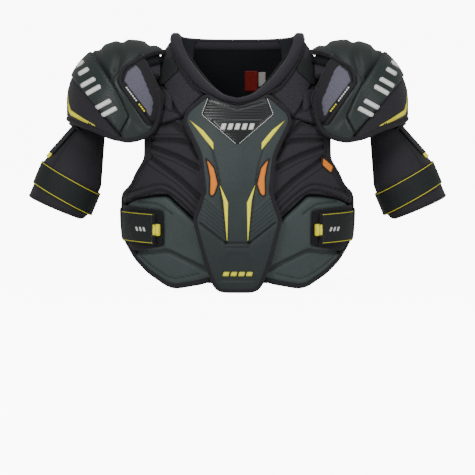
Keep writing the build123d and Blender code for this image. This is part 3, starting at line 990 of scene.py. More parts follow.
def swept(
    spots: Array, normals: Array, width: float | Array, thick: float | Array,
    closed: bool = False, sides: int = 10, square: float = 0.7,
) -> bmesh.types.BMesh:
    """Sweeps a flattened round section along a line.

    Args:
        spots: the line, in millimetres.
        normals: which way its flat face looks at each point.
        width: the section's width.
        thick: its thickness.
        closed: True if the line closes on itself.
        sides: how many sides the section has.
        square: below 1 the section is squarer than an ellipse.

    Returns:
        The tube, in metres.
    """
    count = len(spots)
    width, thick = np.broadcast_to(width, count), np.broadcast_to(thick, count)
    ahead = np.roll(spots, -1, axis=0) - np.roll(spots, 1, axis=0)
    if not closed:
        ahead[0], ahead[-1] = spots[1] - spots[0], spots[-1] - spots[-2]
    ahead /= np.linalg.norm(ahead, axis=1)[:, None]
    across = np.cross(ahead, normals)
    across /= np.linalg.norm(across, axis=1)[:, None]
    out = np.cross(across, ahead)
    turn = np.linspace(0, 2 * math.pi, sides, endpoint=False) + math.pi / sides
    cx = np.sign(np.cos(turn)) * np.abs(np.cos(turn)) ** square / 2
    cy = np.sign(np.sin(turn)) * np.abs(np.sin(turn)) ** square / 2
    run = np.concatenate([[0.0], np.cumsum(np.linalg.norm(np.diff(spots, axis=0), axis=1))])
    bm = bmesh.new()
    uv = bm.loops.layers.uv.new("UVMap")
    ring = bmesh.ops.create_circle(bm, segments=sides, radius=1)["verts"]
    rings = [ring]
    edges = list({edge for vert in ring for edge in vert.link_edges})
    first_edges = edges
    for _ in range(count - 1):
        made = bmesh.ops.extrude_edge_only(bm, edges=edges)["geom"]
        fresh = {item for item in made if isinstance(item, bmesh.types.BMVert)}
        edges = [
            item for item in made
            if isinstance(item, bmesh.types.BMEdge) and all(v in fresh for v in item.verts)
        ]
        rings.append([next(e.other_vert(v) for e in v.link_edges if e.other_vert(v) in fresh)
            for v in rings[-1]])
    if closed:
        bmesh.ops.bridge_loops(bm, edges=edges + first_edges)
    else:
        bmesh.ops.edgeloop_fill(bm, edges=first_edges)
        bmesh.ops.edgeloop_fill(bm, edges=edges)
    for i, verts in enumerate(rings):
        for k, vert in enumerate(verts):
            spot = spots[i] + across[i] * cx[k] * width[i] + out[i] * cy[k] * thick[i]
            vert.co = Vector(spot) * MM
            for loop in vert.link_loops:
                loop[uv].uv = (run[i] * MM, cx[k] * width[i] * MM)
    return bm


def stitched(spots: Array, normals: Array, pitch: float, length: float, thick: float) -> bmesh.types.BMesh:
    """Lays a row of stitches along a line.

    Args:
        spots: the line, in millimetres.
        normals: which way is off the cloth.
        pitch: from one stitch to the next.
        length: a stitch's length.
        thick: the thread's thickness.

    Returns:
        The stitches, in metres.
    """
    both = resample(np.hstack([spots, normals * 1.0]), 1.0)
    run = np.concatenate([[0.0], np.cumsum(np.linalg.norm(np.diff(both[:, :3], axis=0), axis=1))])
    bm = bmesh.new()
    for at in np.arange(pitch / 2, run[-1], pitch):
        here = np.array([np.interp(at, run, both[:, k]) for k in range(6)])
        ahead = np.array([np.interp(at + 0.5, run, both[:, k]) for k in range(3)]) - here[:3]
        if np.linalg.norm(ahead) < 1e-6:
            continue
        x = Vector(ahead).normalized()
        z = Vector(here[3:]).normalized()
        y = z.cross(x).normalized()
        z = x.cross(y)
        basis = Matrix((x, y, z)).transposed().to_4x4()
        basis.translation = Vector(here[:3]) * MM
        size = Matrix.Diagonal((length * MM, thick * MM, thick * MM, 1))
        bmesh.ops.create_cube(bm, size=1, matrix=basis @ size)
    return bm


@dataclass(frozen=True)
class Trim:
    """A tape, piping, strap edge or row of stitches that follows a line on a form."""

    name: str
    chart: Chart
    path: tuple[Point, ...]
    finish: Finish
    lift: float = PAD_OUT - 3.0
    width: float = 8.0
    thick: float = 8.0
    closed: bool = False
    corner: float = 6.0
    square: float = 0.7
    dashes: Point | None = None

    def publish(self, body: str, slot: str, nodes: Sequence[str] = (),
        side: Side = Side.LEFT) -> bpy.types.Object:
        """Builds the trim for one side and gives it to the frame.

        Args:
            body: the body that it rides on.
            nodes: the soft CAD nodes that it stands for.
            side: the side that it is for.

        Returns:
            The piece.
        """
        spots, normals = along(self.chart, self.path, self.lift, 3.0, self.closed, self.corner)
        if self.dashes:
            bm = stitched(spots, normals, self.dashes[0], self.dashes[1], self.thick)
        else:
            bm = swept(spots, normals, self.width, self.thick, self.closed, square=self.square)
        name = f"{self.name}_{side.tag}"
        return publish(bm, name, self.finish, body, nodes, mirrored=side is Side.RIGHT)


def halved(points: Sequence[Point]) -> tuple[Point, ...]:
    """Closes a half outline across the middle of the body."""
    return tuple(points) + tuple((-x, z) for x, z in reversed(points) if x > 0)


FRONT = TorsoChart()
REAR = TorsoChart(rear=True)
SHIELD_CHART = TorsoChart(lift=SHIELD_OUT)
REAR_SHIELD = TorsoChart(rear=True, lift=SHIELD_OUT)


# ------------------------------------------------------------------ the vest's front


def armhole(rear: bool, low: float, high: float, lift: float = PAD_OUT, grow: float = 0.0) -> list[Point]:
    """The edge of an armhole as outline points of the front or the rear chart.

    Args:
        rear: True for the back of the vest.
        low: the height to start at.
        high: the height to end at.
        lift: the layer whose outlines these are.
        grow: how much larger than the armhole.

    Returns:
        The outline points, from the bottom up.
    """
    half_depth, half_height, middle = 80.0 + grow, 80.0 + grow, 225.0
    points = []
    for z in np.linspace(low, high, 24):
        share = 1 - min(1.0, abs(z - middle) / half_height) ** 2
        reach = half_depth * math.sqrt(max(share, 0.0))
        a, b, c = (float(v) for v in TORSO.section(np.array(z)))
        y = SEAM_Y + reach if rear else SEAM_Y - reach
        cosine = (y - c) / (b + lift) if rear else (c - y) / (b + lift)
        angle = math.acos(max(-1.0, min(1.0, cosine)))
        ratio = math.sin(angle) if angle < KNEE_ANGLE else KNEE + (angle - KNEE_ANGLE) / KNEE_SLOPE
        points.append((ratio * (a + lift), float(z)))
    return points


def front_edge(lift: float = PAD_OUT) -> list[Point]:
    """The chest's edge beside the arm as outline points of a layer, from the top down.

    Args:
        lift: the layer whose outline these are.

    Returns:
        The outline points.
    """
    pad_edge = ((147.5, 246), (147.0, 226), (147.5, 209), (155.5, 196), (163.0, 184), (168.5, 171),
        (175.0, 162), (184.0, 154),)
    points = []
    for x, z in pad_edge:
        width = float(TORSO.section(np.array(z))[0])
        points.append((x * (width + lift) / (width + PAD_OUT), z))
    return points


@dataclass
class VestFront:
    """The chest pads, belly panels, sternum shield and the linings under them."""

    shield: tuple[Point, ...] = (
        (0, 295), (27, 299), (52, 314), (84, 287), (88, 272), (75, 247), (61, 219), (54, 160),
        (71, 114), (57, 63), (45, 26), (36, 5), (24, 0), (0, 0),
    )
    groove_depth: float = 4.8
    binding: float = 8.0

    def lining(self) -> None:
        """Builds the knitted linings, front and back."""
        hem = 14.0
        side = [(100, hem), (112, hem + 2), (141, 36), (157, 54), past(83.5, 88, LINER), past(84, 140, LINER)]
        neck = [(92, 404), (82, 379), (61, 350), (40, 325), (22, 310), (0, 305)]
        shoulder = [(160, 330), (146, 368), (118, 402)]
        for rear, name, top in (
            (False, "liner_front", neck),
            (True, "liner_back", [(92, 396), (86, 390), (0, 390)]),
        ):
            chart = TorsoChart(rear=rear, lift=LINER)
            edge = armhole(rear, 149, 302, LINER) if rear else front_edge(LINER)[::-1] + armhole(rear, 254,
                302, LINER)
            outline = [(0.0, hem)] + side + edge + shoulder + top
            Panel(name, chart, halved(outline), LINING, base=0.2, thick=2.6, edge=0.8, shoulder=3,
                ripple=0.5, step=4.5).publish("vest", "liner", (name,), 0.2, plain_name=True)

    def chest(self, side: Side) -> None:
        """Builds a ribbed chest pad with its fan of sewn channels.

        Args:
            side: which side.
        """
        depth = self.groove_depth
        channels = (
            ((68, 236), (100, 240), (141, 240)), ((62, 197), (98, 215), (141, 230)),
            ((56, 147), (92, 179), (140, 213)), ((94, 277), (84, 256), (70, 236)),
            ((121, 263), (105, 268), (90, 256)), ((60, 214), (72, 232)),
        )
        grooves = tuple(Groove(path, depth, 3.0, 2.6, 8) for path in channels)
        grooves += tuple(Groove(path, 1.4, 1.2, 0.4, 8) for path in (
            ((72, 247), (104, 249), (142, 249)), ((66, 188), (100, 206), (144, 221)),
            ((60, 138), (96, 171), (146, 203)),
        ))
        grooves += (Groove(((182, 143), (150, 155), (120, 164), (92, 146), (60, 114)), depth * 0.6, 2.0,
            0.8, 18), Groove(((178, 156), (150, 165), (118, 173), (90, 154), (60, 126)), depth * 0.5, 1.8,
            0.6, 18), Groove(((142, 250), (141.5, 210), (151, 194), (159, 175), (171, 160), (182, 149)),
            1.6, 1.6, 0.6, 10),)
        outline = [(22, 292), (88, 276), (126, 263), (146, 254)] + front_edge() + [past(83.5, 150),
            past(84, 136), (169, 147.5), (138, 154), (113, 155), (66, 114), (40, 140), (24, 200)]
        Panel("chest_pad", FRONT, tuple(outline), MESH, thick=10.8, crown=0.5, grooves=grooves, step=2.1,
            corner=4, swells=True).publish("vest", "mesh_fabric", (f"chest_pad_{side.tag}",), 0.7, side)
        tape = [(146, 256)] + front_edge() + [past(84, 147), past(84.5, 120)]
        Trim("armhole_tape", FRONT, tuple(tape), DARK, lift=PAD_OUT - 5.2, width=8.5, thick=12.5).publish(
            "vest", "binding", side=side)
        seam = ((139.5, 250), (139, 208), (149, 191), (157, 172), (169, 158), (180, 147))
        Trim("armhole_stitches", FRONT, seam, DARK, lift=PAD_OUT - 1.2, width=0.8, thick=0.9,
            dashes=(3.4, 2.3)).publish("vest", "binding", side=side)

    def belly(self, side: Side) -> None:
        """Builds a belly panel, its strap recess and its hem.

        Args:
            side: which side.
        """
        channel = Groove(((174, 60), (150, 61), (113, 66), (80, 50.5), (48, 36)), 3.4, 2.0, 2.6, 8)
        recess = Plateau(((116.5, 132), (190, 139), (206, 139), (206, 58), (166, 58), (115.2, 70.5)), -2.4,
            1.6, 5)
        edges = (Groove(((118, 150), (90, 128), (66, 106)), -0.9, 1.6, 0.6),
            Groove(((63, 106), (48, 40)), 3.0, 2.4, 1.5),
            Groove(((62, 30), (98, 21), (112, 24), (140, 42), (158, 58)), 1.2, 1.2, 0.4, 10),
            Groove(((160, 142), (126, 140), (104, 124)), 1.0, 2.4, 0.5, 10),)
        outline = ((38, 92), (36, 40), (32, 24), (60, 16), (100, 8), (113, 11), (143, 30), (164, 50),
                   past(83, 82), past(84, 96), past(84, 133), (169, 144), (138, 150), (115, 151.5), (68, 111))
        Panel("side_panel", FRONT, outline, PANEL, thick=11.0, grooves=(channel,) + edges, plateaus=(recess,),
              step=2.1, swells=True).publish("vest", "panel_fabric", (f"side_panel_{side.tag}",), 0.6, side)
        patch = ((119, 129), past(82, 135), past(83.5, 131), past(83.5, 98), (177, 72), (168, 62),
            (117.5, 73))
        Panel("strap_landing", FRONT, patch, LOOP, base=PAD_OUT - 2.4, thick=0.9, edge=0.7, shoulder=2,
            ripple=0.15).publish("vest", "loop_fabric", (f"strap_landing_{side.tag}",), side=side)
        hem = ((45, 21), (60, 16), (100, 8.5), (113, 11.5), (143, 30.5), (164, 50.5), past(83, 83),
               past(84.5, 100), past(84.5, 134))
        Trim("hem_tape", FRONT, hem, DARK, lift=PAD_OUT - 6.0, width=9.0, thick=13.0).publish("vest",
            "binding", side=side)

    def sternum(self) -> None:
        """Builds the sternum shield with its badge, vents, flashes and binding."""
        outline = halved(self.shield)
        lift = SHIELD_IN
        flank = Groove(((59, 110), (18.7, 79)), 2.0, 1.8, 0.8, 3)
        column = Groove(((43, 234), (33, 200), (28, 172), (21, 112), (18, 80)), 1.6, 1.4, 0.6, 8)
        waist = Groove(((-19, 79), (19, 79)), 2.0, 2.2, 0.8, 3)
        step_line = Groove(((-19, 73), (19, 73)), 1.0, 1.4, 0.4, 3)
        plate = Plateau(((-18, 64), (18, 64), (28, 18), (-28, 18)), -1.6, 1.6, 3)
        ribs = tuple(Groove(((52 + k * 0.8, 152 - k * 6.4), (25 - k * 1.2, 128 - k * 7.4)), -1.5, 1.8, 0.5,
            2) for k in range(7))
        mirrored = tuple(
            Groove(tuple((-x, z) for x, z in g.path), g.depth, g.width, g.floor, g.corner)
            for g in (flank, column) + ribs
        )
        Panel("sternum_shield", SHIELD_CHART, outline, SHIELD, base=lift, thick=8.2, edge=0.55,
            shoulder=7.0, crown=0.4, ripple=0.0, corner=8.0, step=1.5, grooves=(flank, column, waist,
            step_line) + ribs + mirrored, plateaus=(plate,)).publish("vest", "moulded_panel",
            ("sternum_shield",), plain_name=True)
        tape = tuple((x * 0.955, 4.4 + z * 0.971) for x, z in outline)
        Trim("sternum_binding", SHIELD_CHART, tape, DARK, lift=SHIELD_OUT - 4.6, width=self.binding,
            thick=10.5, closed=True, corner=8.0).publish("vest", "binding", ("sternum_binding",))
        self.badge()
        for side in Side:
            self.flashes(side)

    def badge(self) -> None:
        """Builds the glossy ribbed badge under the collar, with its pale stitches."""
        outline = halved(((0, 293), (46, 308), (57, 281), (0, 234)))
        flat = Plateau(((-42, 273), (42, 273), (28, 252), (-28, 252)), 0.7, 1.4, 3)
        rim = Groove(((-50, 302), (0, 289), (50, 302)), 0.9, 1.4, 0.5, 4)
        chart = TorsoChart(lift=29.0)
        Panel("sternum_badge", chart, outline, BADGE, base=SHIELD_OUT - 0.4, thick=2.6, edge=0.5,
            shoulder=3.0, crown=0.3, ripple=0.0, corner=4.0, step=1.3, grooves=(rim,),
            plateaus=(flat,)).publish("vest", "gloss_badge", ("sternum_badge",), plain_name=True)
        for k in range(5):
            x = (k - 2) * 11.0
            bar = ((x - 5.4, 257), (x + 2.2, 257), (x + 5.4, 267), (x - 2.2, 267))
            Panel(f"badge_bar_{k}", chart, bar, PALE, base=SHIELD_OUT + 2.7, thick=1.1, edge=0.6,
                shoulder=1.0, crown=0.0, ripple=0.0, corner=0.6, step=0.9).publish("vest", "gloss_badge",
                plain_name=True)
        for side in Side:
            row = ((47, 306), (56.5, 281), (2, 234.6))
            Trim("badge_stitches", chart, row, PALE, lift=SHIELD_OUT + 1.6, width=0.9, thick=0.9,
                corner=2.0, dashes=(3.4, 2.0)).publish("vest", "gloss_badge", side=side)

    def flashes(self, side: Side) -> None:
        """Builds one side's yellow flashes and orange vent on the shield.

        Args:
            side: which side.
        """
        upper = Flash("upper_flash", ((74.5, 271.5), (52, 243), (38, 226)),
                      ((74.5, 271.0), (54.7, 256.5), (38.2, 237), (37.8, 226)), YELLOW)
        lower = Flash("lower_flash", ((27.5, 170), (22.0, 145), (16.6, 83.5)),
                      ((27.2, 170), (14.8, 143), (16.0, 83.5)), YELLOW)
        for flash in (upper, lower):
            flash.publish(SHIELD_CHART, "vest", "yellow_trim", side)
        vent = ((50.5, 214), (43, 206), (36, 197), (30, 172), (35.5, 156), (41, 152), (44, 156),
            (43.5, 181), (47, 200))
        Panel("sternum_vent", SHIELD_CHART, vent, ORANGE, base=SHIELD_OUT - 1.8, thick=2.0, edge=0.5,
            shoulder=2.0, crown=0.0, ripple=0.0, corner=2.0, step=1.4).publish("vest", "orange_mesh",
            (f"sternum_vent_{side.tag}",), side=side)
        Trim("vent_frame", SHIELD_CHART, vent, DARK, lift=SHIELD_OUT - 0.4, width=2.2, thick=2.2,
            closed=True, corner=2.0).publish("vest", "binding", side=side)

    def marks(self) -> None:
        """Builds the plain slanted bars at the foot of the shield."""
        for k in range(4):
            x = -24.0 + k * 12.4
            bar = ((x, 27), (x + 9.6, 27), (x + 11.6, 34), (x + 2, 34))
            Panel(f"foot_bar_{k}", SHIELD_CHART, bar, YELLOW, base=SHIELD_OUT - 2.4, thick=1.6, edge=0.5,
                shoulder=1.2, crown=0.0, ripple=0.0, corner=0.6, step=1.0).publish("vest", "yellow_trim",
                plain_name=True)

    def side_vent(self) -> None:
        """Builds the small orange vent at the edge of the left chest pad."""
        outline = ((135, 213), (134, 200), (149, 187), (153, 198), (143, 207))
        Panel("side_vent", FRONT, outline, ORANGE, base=PAD_OUT - 1.6, thick=1.9, edge=0.5, shoulder=1.6,
            crown=0.0, ripple=0.0, corner=1.5, step=1.2).publish("vest", "orange_mesh", ("side_vent_left",))
        Trim("side_vent_frame", FRONT, outline, DARK, lift=PAD_OUT + 0.1, width=1.8, thick=1.8,
            closed=True, corner=1.5).publish("vest", "binding")

    def build(self) -> None:
        """Builds the whole front."""
        self.lining()
        for side in Side:
            self.chest(side)
            self.belly(side)
        self.sternum()
        self.marks()
        self.side_vent()


# ------------------------------------------------------------------ yoke and collar


@dataclass
class Yoke:
    """The pads over the tops of the shoulders, the bands across them, and the collar."""

    collar_thick: float = 16.5

    def pads(self, side: Side) -> None:
        """Builds a yoke pad that wraps from the chest over the shoulder to the back.

        Args:
            side: which side.
        """
        front = [(56, 312), (71, 323), (92, 350), (106, 373), past(80, 404), past(100, 404)]
        back = [past(118, 396), past(134, 384), past(126, 352), past(112, 330), past(90, 318)]
        chest = [past(70, 305), (150, 268), (148, 256), (127, 264.5), (90, 275.5)]
        grooves = (
            Groove(((91, 276), (101, 290), (121, 327), (136, 356)), 4.0, 2.6, 1.4),
            Groove(((101, 284), (124, 322), (150, 318)), 2.5, 2.4, 1.0),
            Groove(((104, 374), (118, 362), (136, 354)), 3.0, 2.2, 1.0),
            Groove(((60, 316), (91, 352)), 1.2, 1.2, 0.4),
        )
        Panel("yoke_pad", FRONT, tuple(front + back + chest), KNIT, thick=11.0, grooves=grooves, step=2.3,
            crown=0.4, swells=True).publish("vest", "mesh_fabric", (f"yoke_pad_{side.tag}",), 0.6, side)
        band = ((104, 373), (112, 371), (136, 353), (121, 326), (93, 352))
        Panel("yoke_strap", FRONT, band, STRAP, base=16.0, thick=2.2, edge=0.6, shoulder=2.0, ripple=0.2,
            step=2.0).publish("vest", "strap_webbing", (f"yoke_strap_{side.tag}",), side=side)
        patch = ((106, 318), (122, 322), (126, 308), (112, 288), (103, 284))
        Panel("yoke_patch", FRONT, patch, KNIT, base=PAD_OUT - 1.0, thick=3.4, edge=0.4, shoulder=4.0,
            ripple=0.3, step=2.2).publish("vest", "mesh_fabric", fill=0.5, side=side)

    def neck_line(self, front: Sequence[Point], rear_level: float, lift: float,
        corner: float = 10.0) -> tuple[Array, Array]:
        """The closed line of a neck edge.

        Args:
            front: the right-hand half of its front part, from the middle out.
            rear_level: its height at the back.
            lift: how far off the torso it runs.
            corner: how far its corners are rounded.

        Returns:
            Points and normals all round the neck.
        """
        half = [tuple(p) for p in front] + [past(92, 404.5, lift), past(104, 402, lift),
            past(118, rear_level + 3, lift), past(150, rear_level, lift), past(180, rear_level, lift)]
        chart = TorsoChart(lift=lift)
        flat = chart.flatten(resample(soften(half, corner, False), 2.0))
        flat = resample(flat, 3.0)
        mirror_half = flat[::-1][1:-1] * np.array([-1.0, 1.0])
        flat = np.vstack([flat, mirror_half])
        height = np.full(len(flat), lift)
        spots = chart.place(flat, height)
        normals = chart.place(flat, height + 1) - spots
        return spots, normals / np.linalg.norm(normals, axis=1)[:, None]

    def collar(self) -> None:
        """Builds the padded roll round the neck and the piping outside it."""
        middle = [(0, 301.5), (24, 306), (46, 320.5), (65, 338), (86, 365), (97, 386), (100, 402)]
        spots, normals = self.neck_line(middle, 394.5, 8.5)
        x = np.abs(spots[:, 0])
        front_part = (spots[:, 1] < 10) & (spots[:, 2] < 395)
        width = np.where(front_part, np.interp(x, [0, 30, 70, 100], [9.5, 11.5, 18, 19]), 19.0)
        kernel = np.ones(9) / 9
        width = np.convolve(np.concatenate([width[-4:], width, width[:4]]), kernel, mode="valid")
        bm = swept(spots, normals, width, self.collar_thick, True, 20, 0.62)
        publish(bm, "collar", ROLL, "vest", ("collar",))
        for name, offset, lift in (("collar_piping", 0.0, 16.6), ("neck_piping", 1.0, 3.4)):
            outer = [(0, 296.5), (27, 300.5), (52, 315), (70, 326), (91, 354), (105, 378), (108, 402)]
            inner = [(0, 306), (22, 311), (40, 326), (61, 351), (81, 380), (91, 397), (92, 404)]
            line = outer if offset == 0.0 else inner
            level = 384.5 if offset == 0.0 else 400.0
            spots, normals = self.neck_line(line, level, lift)
            publish(swept(spots, normals, 2.4, 2.4, True, 8, 1.0), name, DARK, "vest")

    def labels(self) -> None:
        """Builds the plain woven labels inside the back of the neck."""
        inside_chart = TorsoChart(rear=True, lift=0.0)
        for name, outline, finish, nodes in (
            ("neck_label", ((12, 352), (34, 352), (34, 318), (12, 318)), RED, ("neck_label",)),
            ("care_label", ((35, 350), (47, 350), (47, 326), (35, 326)), WHITE, ()),
        ):
            label = Panel(name, inside_chart, outline, finish, base=-1.6, thick=0.8, edge=0.9,
                shoulder=1.0, crown=0.0, ripple=0.15, corner=0.5, step=2.0)
            piece = label.publish("vest", "label_red", nodes, plain_name=True)

    def build(self) -> None:
        """Builds the yoke, collar and labels."""
        for side in Side:
            self.pads(side)
        self.collar()
        self.labels()


# ------------------------------------------------------------------ the vest's back


@dataclass
class VestBack:
    """The scapula pads, kidney pad and spine shield, which the chest hides from the front."""

    spine: tuple[Point, ...] = ((0, 372), (26, 372), (44, 340), (30, 250), (40, 180), (30, 96), (0, 84))

    def upper(self, side: Side) -> None:
        """Builds a scapula pad with fanned channels.

        Args:
            side: which side.
        """
        outline = [(6, 374), (60, 378), (96, 372), (118, 345), (134, 318)] + armhole(True, 178,
            300)[::-1] + [(140, 178), (6, 169)]
        grooves = tuple(Groove(path, 3.8, 5.0, 2.0) for path in (((48, 330), (120, 300)),
            ((40, 270), (136, 262)), ((36, 215), (140, 222)), ((52, 372), (50, 345)))) + (
            Groove(((44, 186), (150, 190)), 2.4, 3.0, 1.0),)
        Panel("upper_back_pad", REAR, tuple(outline), MESH, thick=10.8, grooves=grooves, crown=0.6, step=2.6,
              swells=True).publish("vest", "mesh_fabric", (f"upper_back_pad_{side.tag}",), 0.7, side)
        tape = armhole(True, 150, 298)[::-1] + [past(84, 147), past(84.5, 120)]
        Trim("rear_armhole_tape", REAR, tuple(tape), DARK, lift=PAD_OUT - 5.2, width=8.5,
            thick=12.5).publish("vest", "binding", side=side)

    def lower(self) -> None:
        """Builds the kidney pad and its hem."""
        half = ((0, 163), (138, 172), (172, 156), past(83, 147), past(84, 90), (150, 34), (96, 0.5), (0, 0.5))
        rows = tuple(Groove(((-s * 52, z), (-s * 188, z + 14)), 3.4, 4.0, 1.6) for s in (1, -1)
            for z in (44, 84, 124))
        Panel("lower_back_pad", REAR, halved(half), PANEL, thick=11.0, grooves=rows, crown=0.5, step=2.9,
              swells=True).publish("vest", "panel_fabric", ("lower_back_pad",), 0.6, plain_name=True)
        half_hem = ((0, 3.5), (96, 3.5), (150, 34.5), past(84.5, 88), past(84.5, 146))
        hem = tuple((-x, z) for x, z in reversed(half_hem[1:])) + half_hem
        Trim("rear_hem_tape", REAR, hem, DARK, lift=PAD_OUT - 6.0, width=7.0, thick=12.5).publish("vest",
            "binding")

    def shield(self) -> None:
        """Builds the segmented spine shield and its binding."""
        rows = tuple(Groove(((-60, z - 7), (0, z), (60, z - 7)), 2.6, 2.6, 1.0, 4) for z in range(118, 360,
            34))
        keel = tuple(Groove(((s * 13, 370), (s * 9, 250), (s * 13, 90)), 1.4, 2.0, 0.6) for s in (1, -1))
        Panel("spine_shield", REAR_SHIELD, halved(self.spine), SHIELD, base=SHIELD_IN, thick=8.2, edge=0.5,
            shoulder=7.0, crown=0.3, ripple=0.0, corner=6.0, step=2.4, grooves=rows + keel).publish("vest",
            "moulded_panel", ("spine_shield",), plain_name=True)
        tape = tuple((x * 0.94, 228 + (z - 228) * 0.985) for x, z in halved(self.spine))
        Trim("spine_binding", REAR_SHIELD, tape, DARK, lift=SHIELD_IN + 2.0, width=7.0, thick=6.0,
            closed=True).publish("vest", "binding")

    def build(self) -> None:
        """Builds the back."""
        for side in Side:
            self.upper(side)
        self.lower()
        self.shield()


# ------------------------------------------------------------------ side straps


@dataclass
class SideStrap:
    """The elastic that closes the vest's side, its hooked end and its pull tab."""

    top: float = 129.0
    width: float = 50.0
    drop: float = 6.0
    end: float = 132.0

    def edge(self, x: float, low: bool) -> Point:
        """A point on the strap's upper or lower edge."""
        fall = self.drop * (230 - min(x, 230)) / 128
        return x, self.top - fall - (self.width if low else 0.0)

    def build(self, side: Side) -> None:
        """Builds one side's strap.

        Args:
            side: which side.
        """
        chart = TorsoChart(lift=STRAP_IN + WEBBING)
        hinge = past(79.3, 100, 18.1)[0]
        behind = past(80.6, 100, 18.1)[0]
        rear_end = past(126, 100, 18.1)[0]
        flap = (self.edge(self.end, False), self.edge(hinge, False), self.edge(hinge, True),
            self.edge(self.end, True))
        body = f"side_strap_{side.tag}"
        Panel("side_strap_flap", chart, flap, STRAP, base=STRAP_IN, thick=2.2, edge=0.7, shoulder=1.4,
            crown=0.0, ripple=0.2, corner=0.8, step=2.0).publish(body, "strap_webbing",
            (f"side_strap_flap_{side.tag}",), side=side)
        back = ((behind, self.top), (rear_end, self.top), (rear_end, self.top - self.width),
            (behind, self.top - self.width))
        Panel("side_strap_elastic", chart, back, STRAP, base=STRAP_IN, thick=2.2, edge=0.7, shoulder=1.4,
            crown=0.0, ripple=0.2, corner=0.8, step=2.4).publish("vest", "strap_webbing",
            (f"side_strap_elastic_{side.tag}",), side=side)
        for low in (False, True):
            nudge = 2.4 if low else -2.4
            ends = [self.edge(self.end + 3, low), self.edge(hinge - 1, low)]
            row = tuple((x, z + nudge) for x, z in ends)
            tag = "low" if low else "top"
            Trim(f"side_strap_thread_{tag}", chart, row, THREAD, lift=STRAP_IN + 2.4, width=1.0, thick=0.8,
                dashes=(3.0, 2.5)).publish(body, "yellow_trim", side=side)
        middle = self.top - self.drop - self.width / 2
        fold = tuple((x, z) for x, z in ((self.end - 8.6, middle + 9.5), (self.end + 3, middle + 9.5),
            (self.end + 3, middle - 9.5), (self.end - 8.6, middle - 9.5)))
        Panel("side_strap_tab", chart, fold, YELLOW, base=STRAP_IN + 0.1, thick=3.2, edge=0.6,
            shoulder=2.0, crown=0.0, ripple=0.0, corner=2.0, step=1.3, grooves=(
            Groove(((self.end - 2, middle + 12), (self.end - 2, middle - 12)), 1.3, 1.2, 0.4, 1),)).publish(
            body, "yellow_trim", (f"side_strap_tab_{side.tag}",), side=side)
        for k, x in enumerate((self.end + 14, self.end + 20, self.end + 26)):
            bar = ((x, middle - 3), (x + 3.2, middle - 3), (x + 5.4, middle + 4), (x + 2.2, middle + 4))
            Panel(f"side_strap_bar_{k}", chart, bar, PALE, base=STRAP_IN + 1.9, thick=0.8, edge=0.6,
                shoulder=0.8, crown=0.0, ripple=0.0, corner=0.4, step=0.9).publish(body, "strap_webbing",
                side=side)
        keeper = ((self.end - 1.5, middle + 24), (self.end + 4, middle + 24), (self.end + 4, middle - 24),
            (self.end - 1.5, middle - 24))
        Panel("side_strap_keeper", chart, keeper, LOOP, base=STRAP_IN + 1.6, thick=1.4, edge=0.6,
            shoulder=1.4, crown=0.0, ripple=0.0, corner=1.0, step=1.6).publish(body, "loop_fabric",
            side=side)


# ------------------------------------------------------------------ shoulder caps


@dataclass(frozen=True)
class CapForm:
    """The bell of a shoulder cap: a half sphere over a straight wall, on the left."""

    x: float = 175.0
    z: float = 300.0
    radius: float = 102.0
    drop: float = 70.0
    clear: float = 18.6

    def ball(self, levels: int) -> tuple[bmesh.types.BMesh, Array, Array]:
        """Makes the bare bell.

        Args:
            levels: how finely it is divided.

        Returns:
            The mesh, its points and its outward normals, in millimetres.
        """
        bm = bmesh.new()
        bmesh.ops.create_icosphere(bm, subdivisions=levels, radius=1)
        bmesh.ops.rotate(bm, cent=(0, 0, 0), matrix=Matrix.Rotation(0.35, 3, "X"), verts=bm.verts)
        unit = np.array([vert.co[:] for vert in bm.verts])
        ring = np.linalg.norm(unit[:, :2], axis=1)
        wall = unit / np.maximum(ring, 1e-6)[:, None] * np.array([1, 1, 0])
        low = unit[:, 2] < 0
        normal = np.where(low[:, None], wall, unit)
        height = np.where(low, np.arcsin(np.clip(unit[:, 2], -1, 1)), unit[:, 2])
        point = normal * self.radius
        point[:, 2] = height * self.radius
        return bm, point + np.array([self.x, SEAM_Y, self.z]), normal

    def settle(self, points: Array) -> tuple[Array, Array]:
        """Moves points straight in or out until they lie on the bell.

        Args:
            points: places near the bell.

        Returns:
            Their places on it and its outward directions there.
        """
        local = points - np.array([self.x, SEAM_Y, self.z])
        flat = local * np.array([1, 1, 0])
        way = np.where((local[:, 2] < 0)[:, None], flat, local)
        way /= np.maximum(np.linalg.norm(way, axis=1), 1e-6)[:, None]
        spot = way * self.radius
        spot[:, 2] = np.where(local[:, 2] < 0, local[:, 2], spot[:, 2])
        return spot + np.array([self.x, SEAM_Y, self.z]), way


CAP = CapForm()


@dataclass(frozen=True)
class PlainChart:
    """Leaves points as they are seen from the front."""

    def flatten(self, seen: Array) -> Array:
        """Gives the points back."""
        return seen


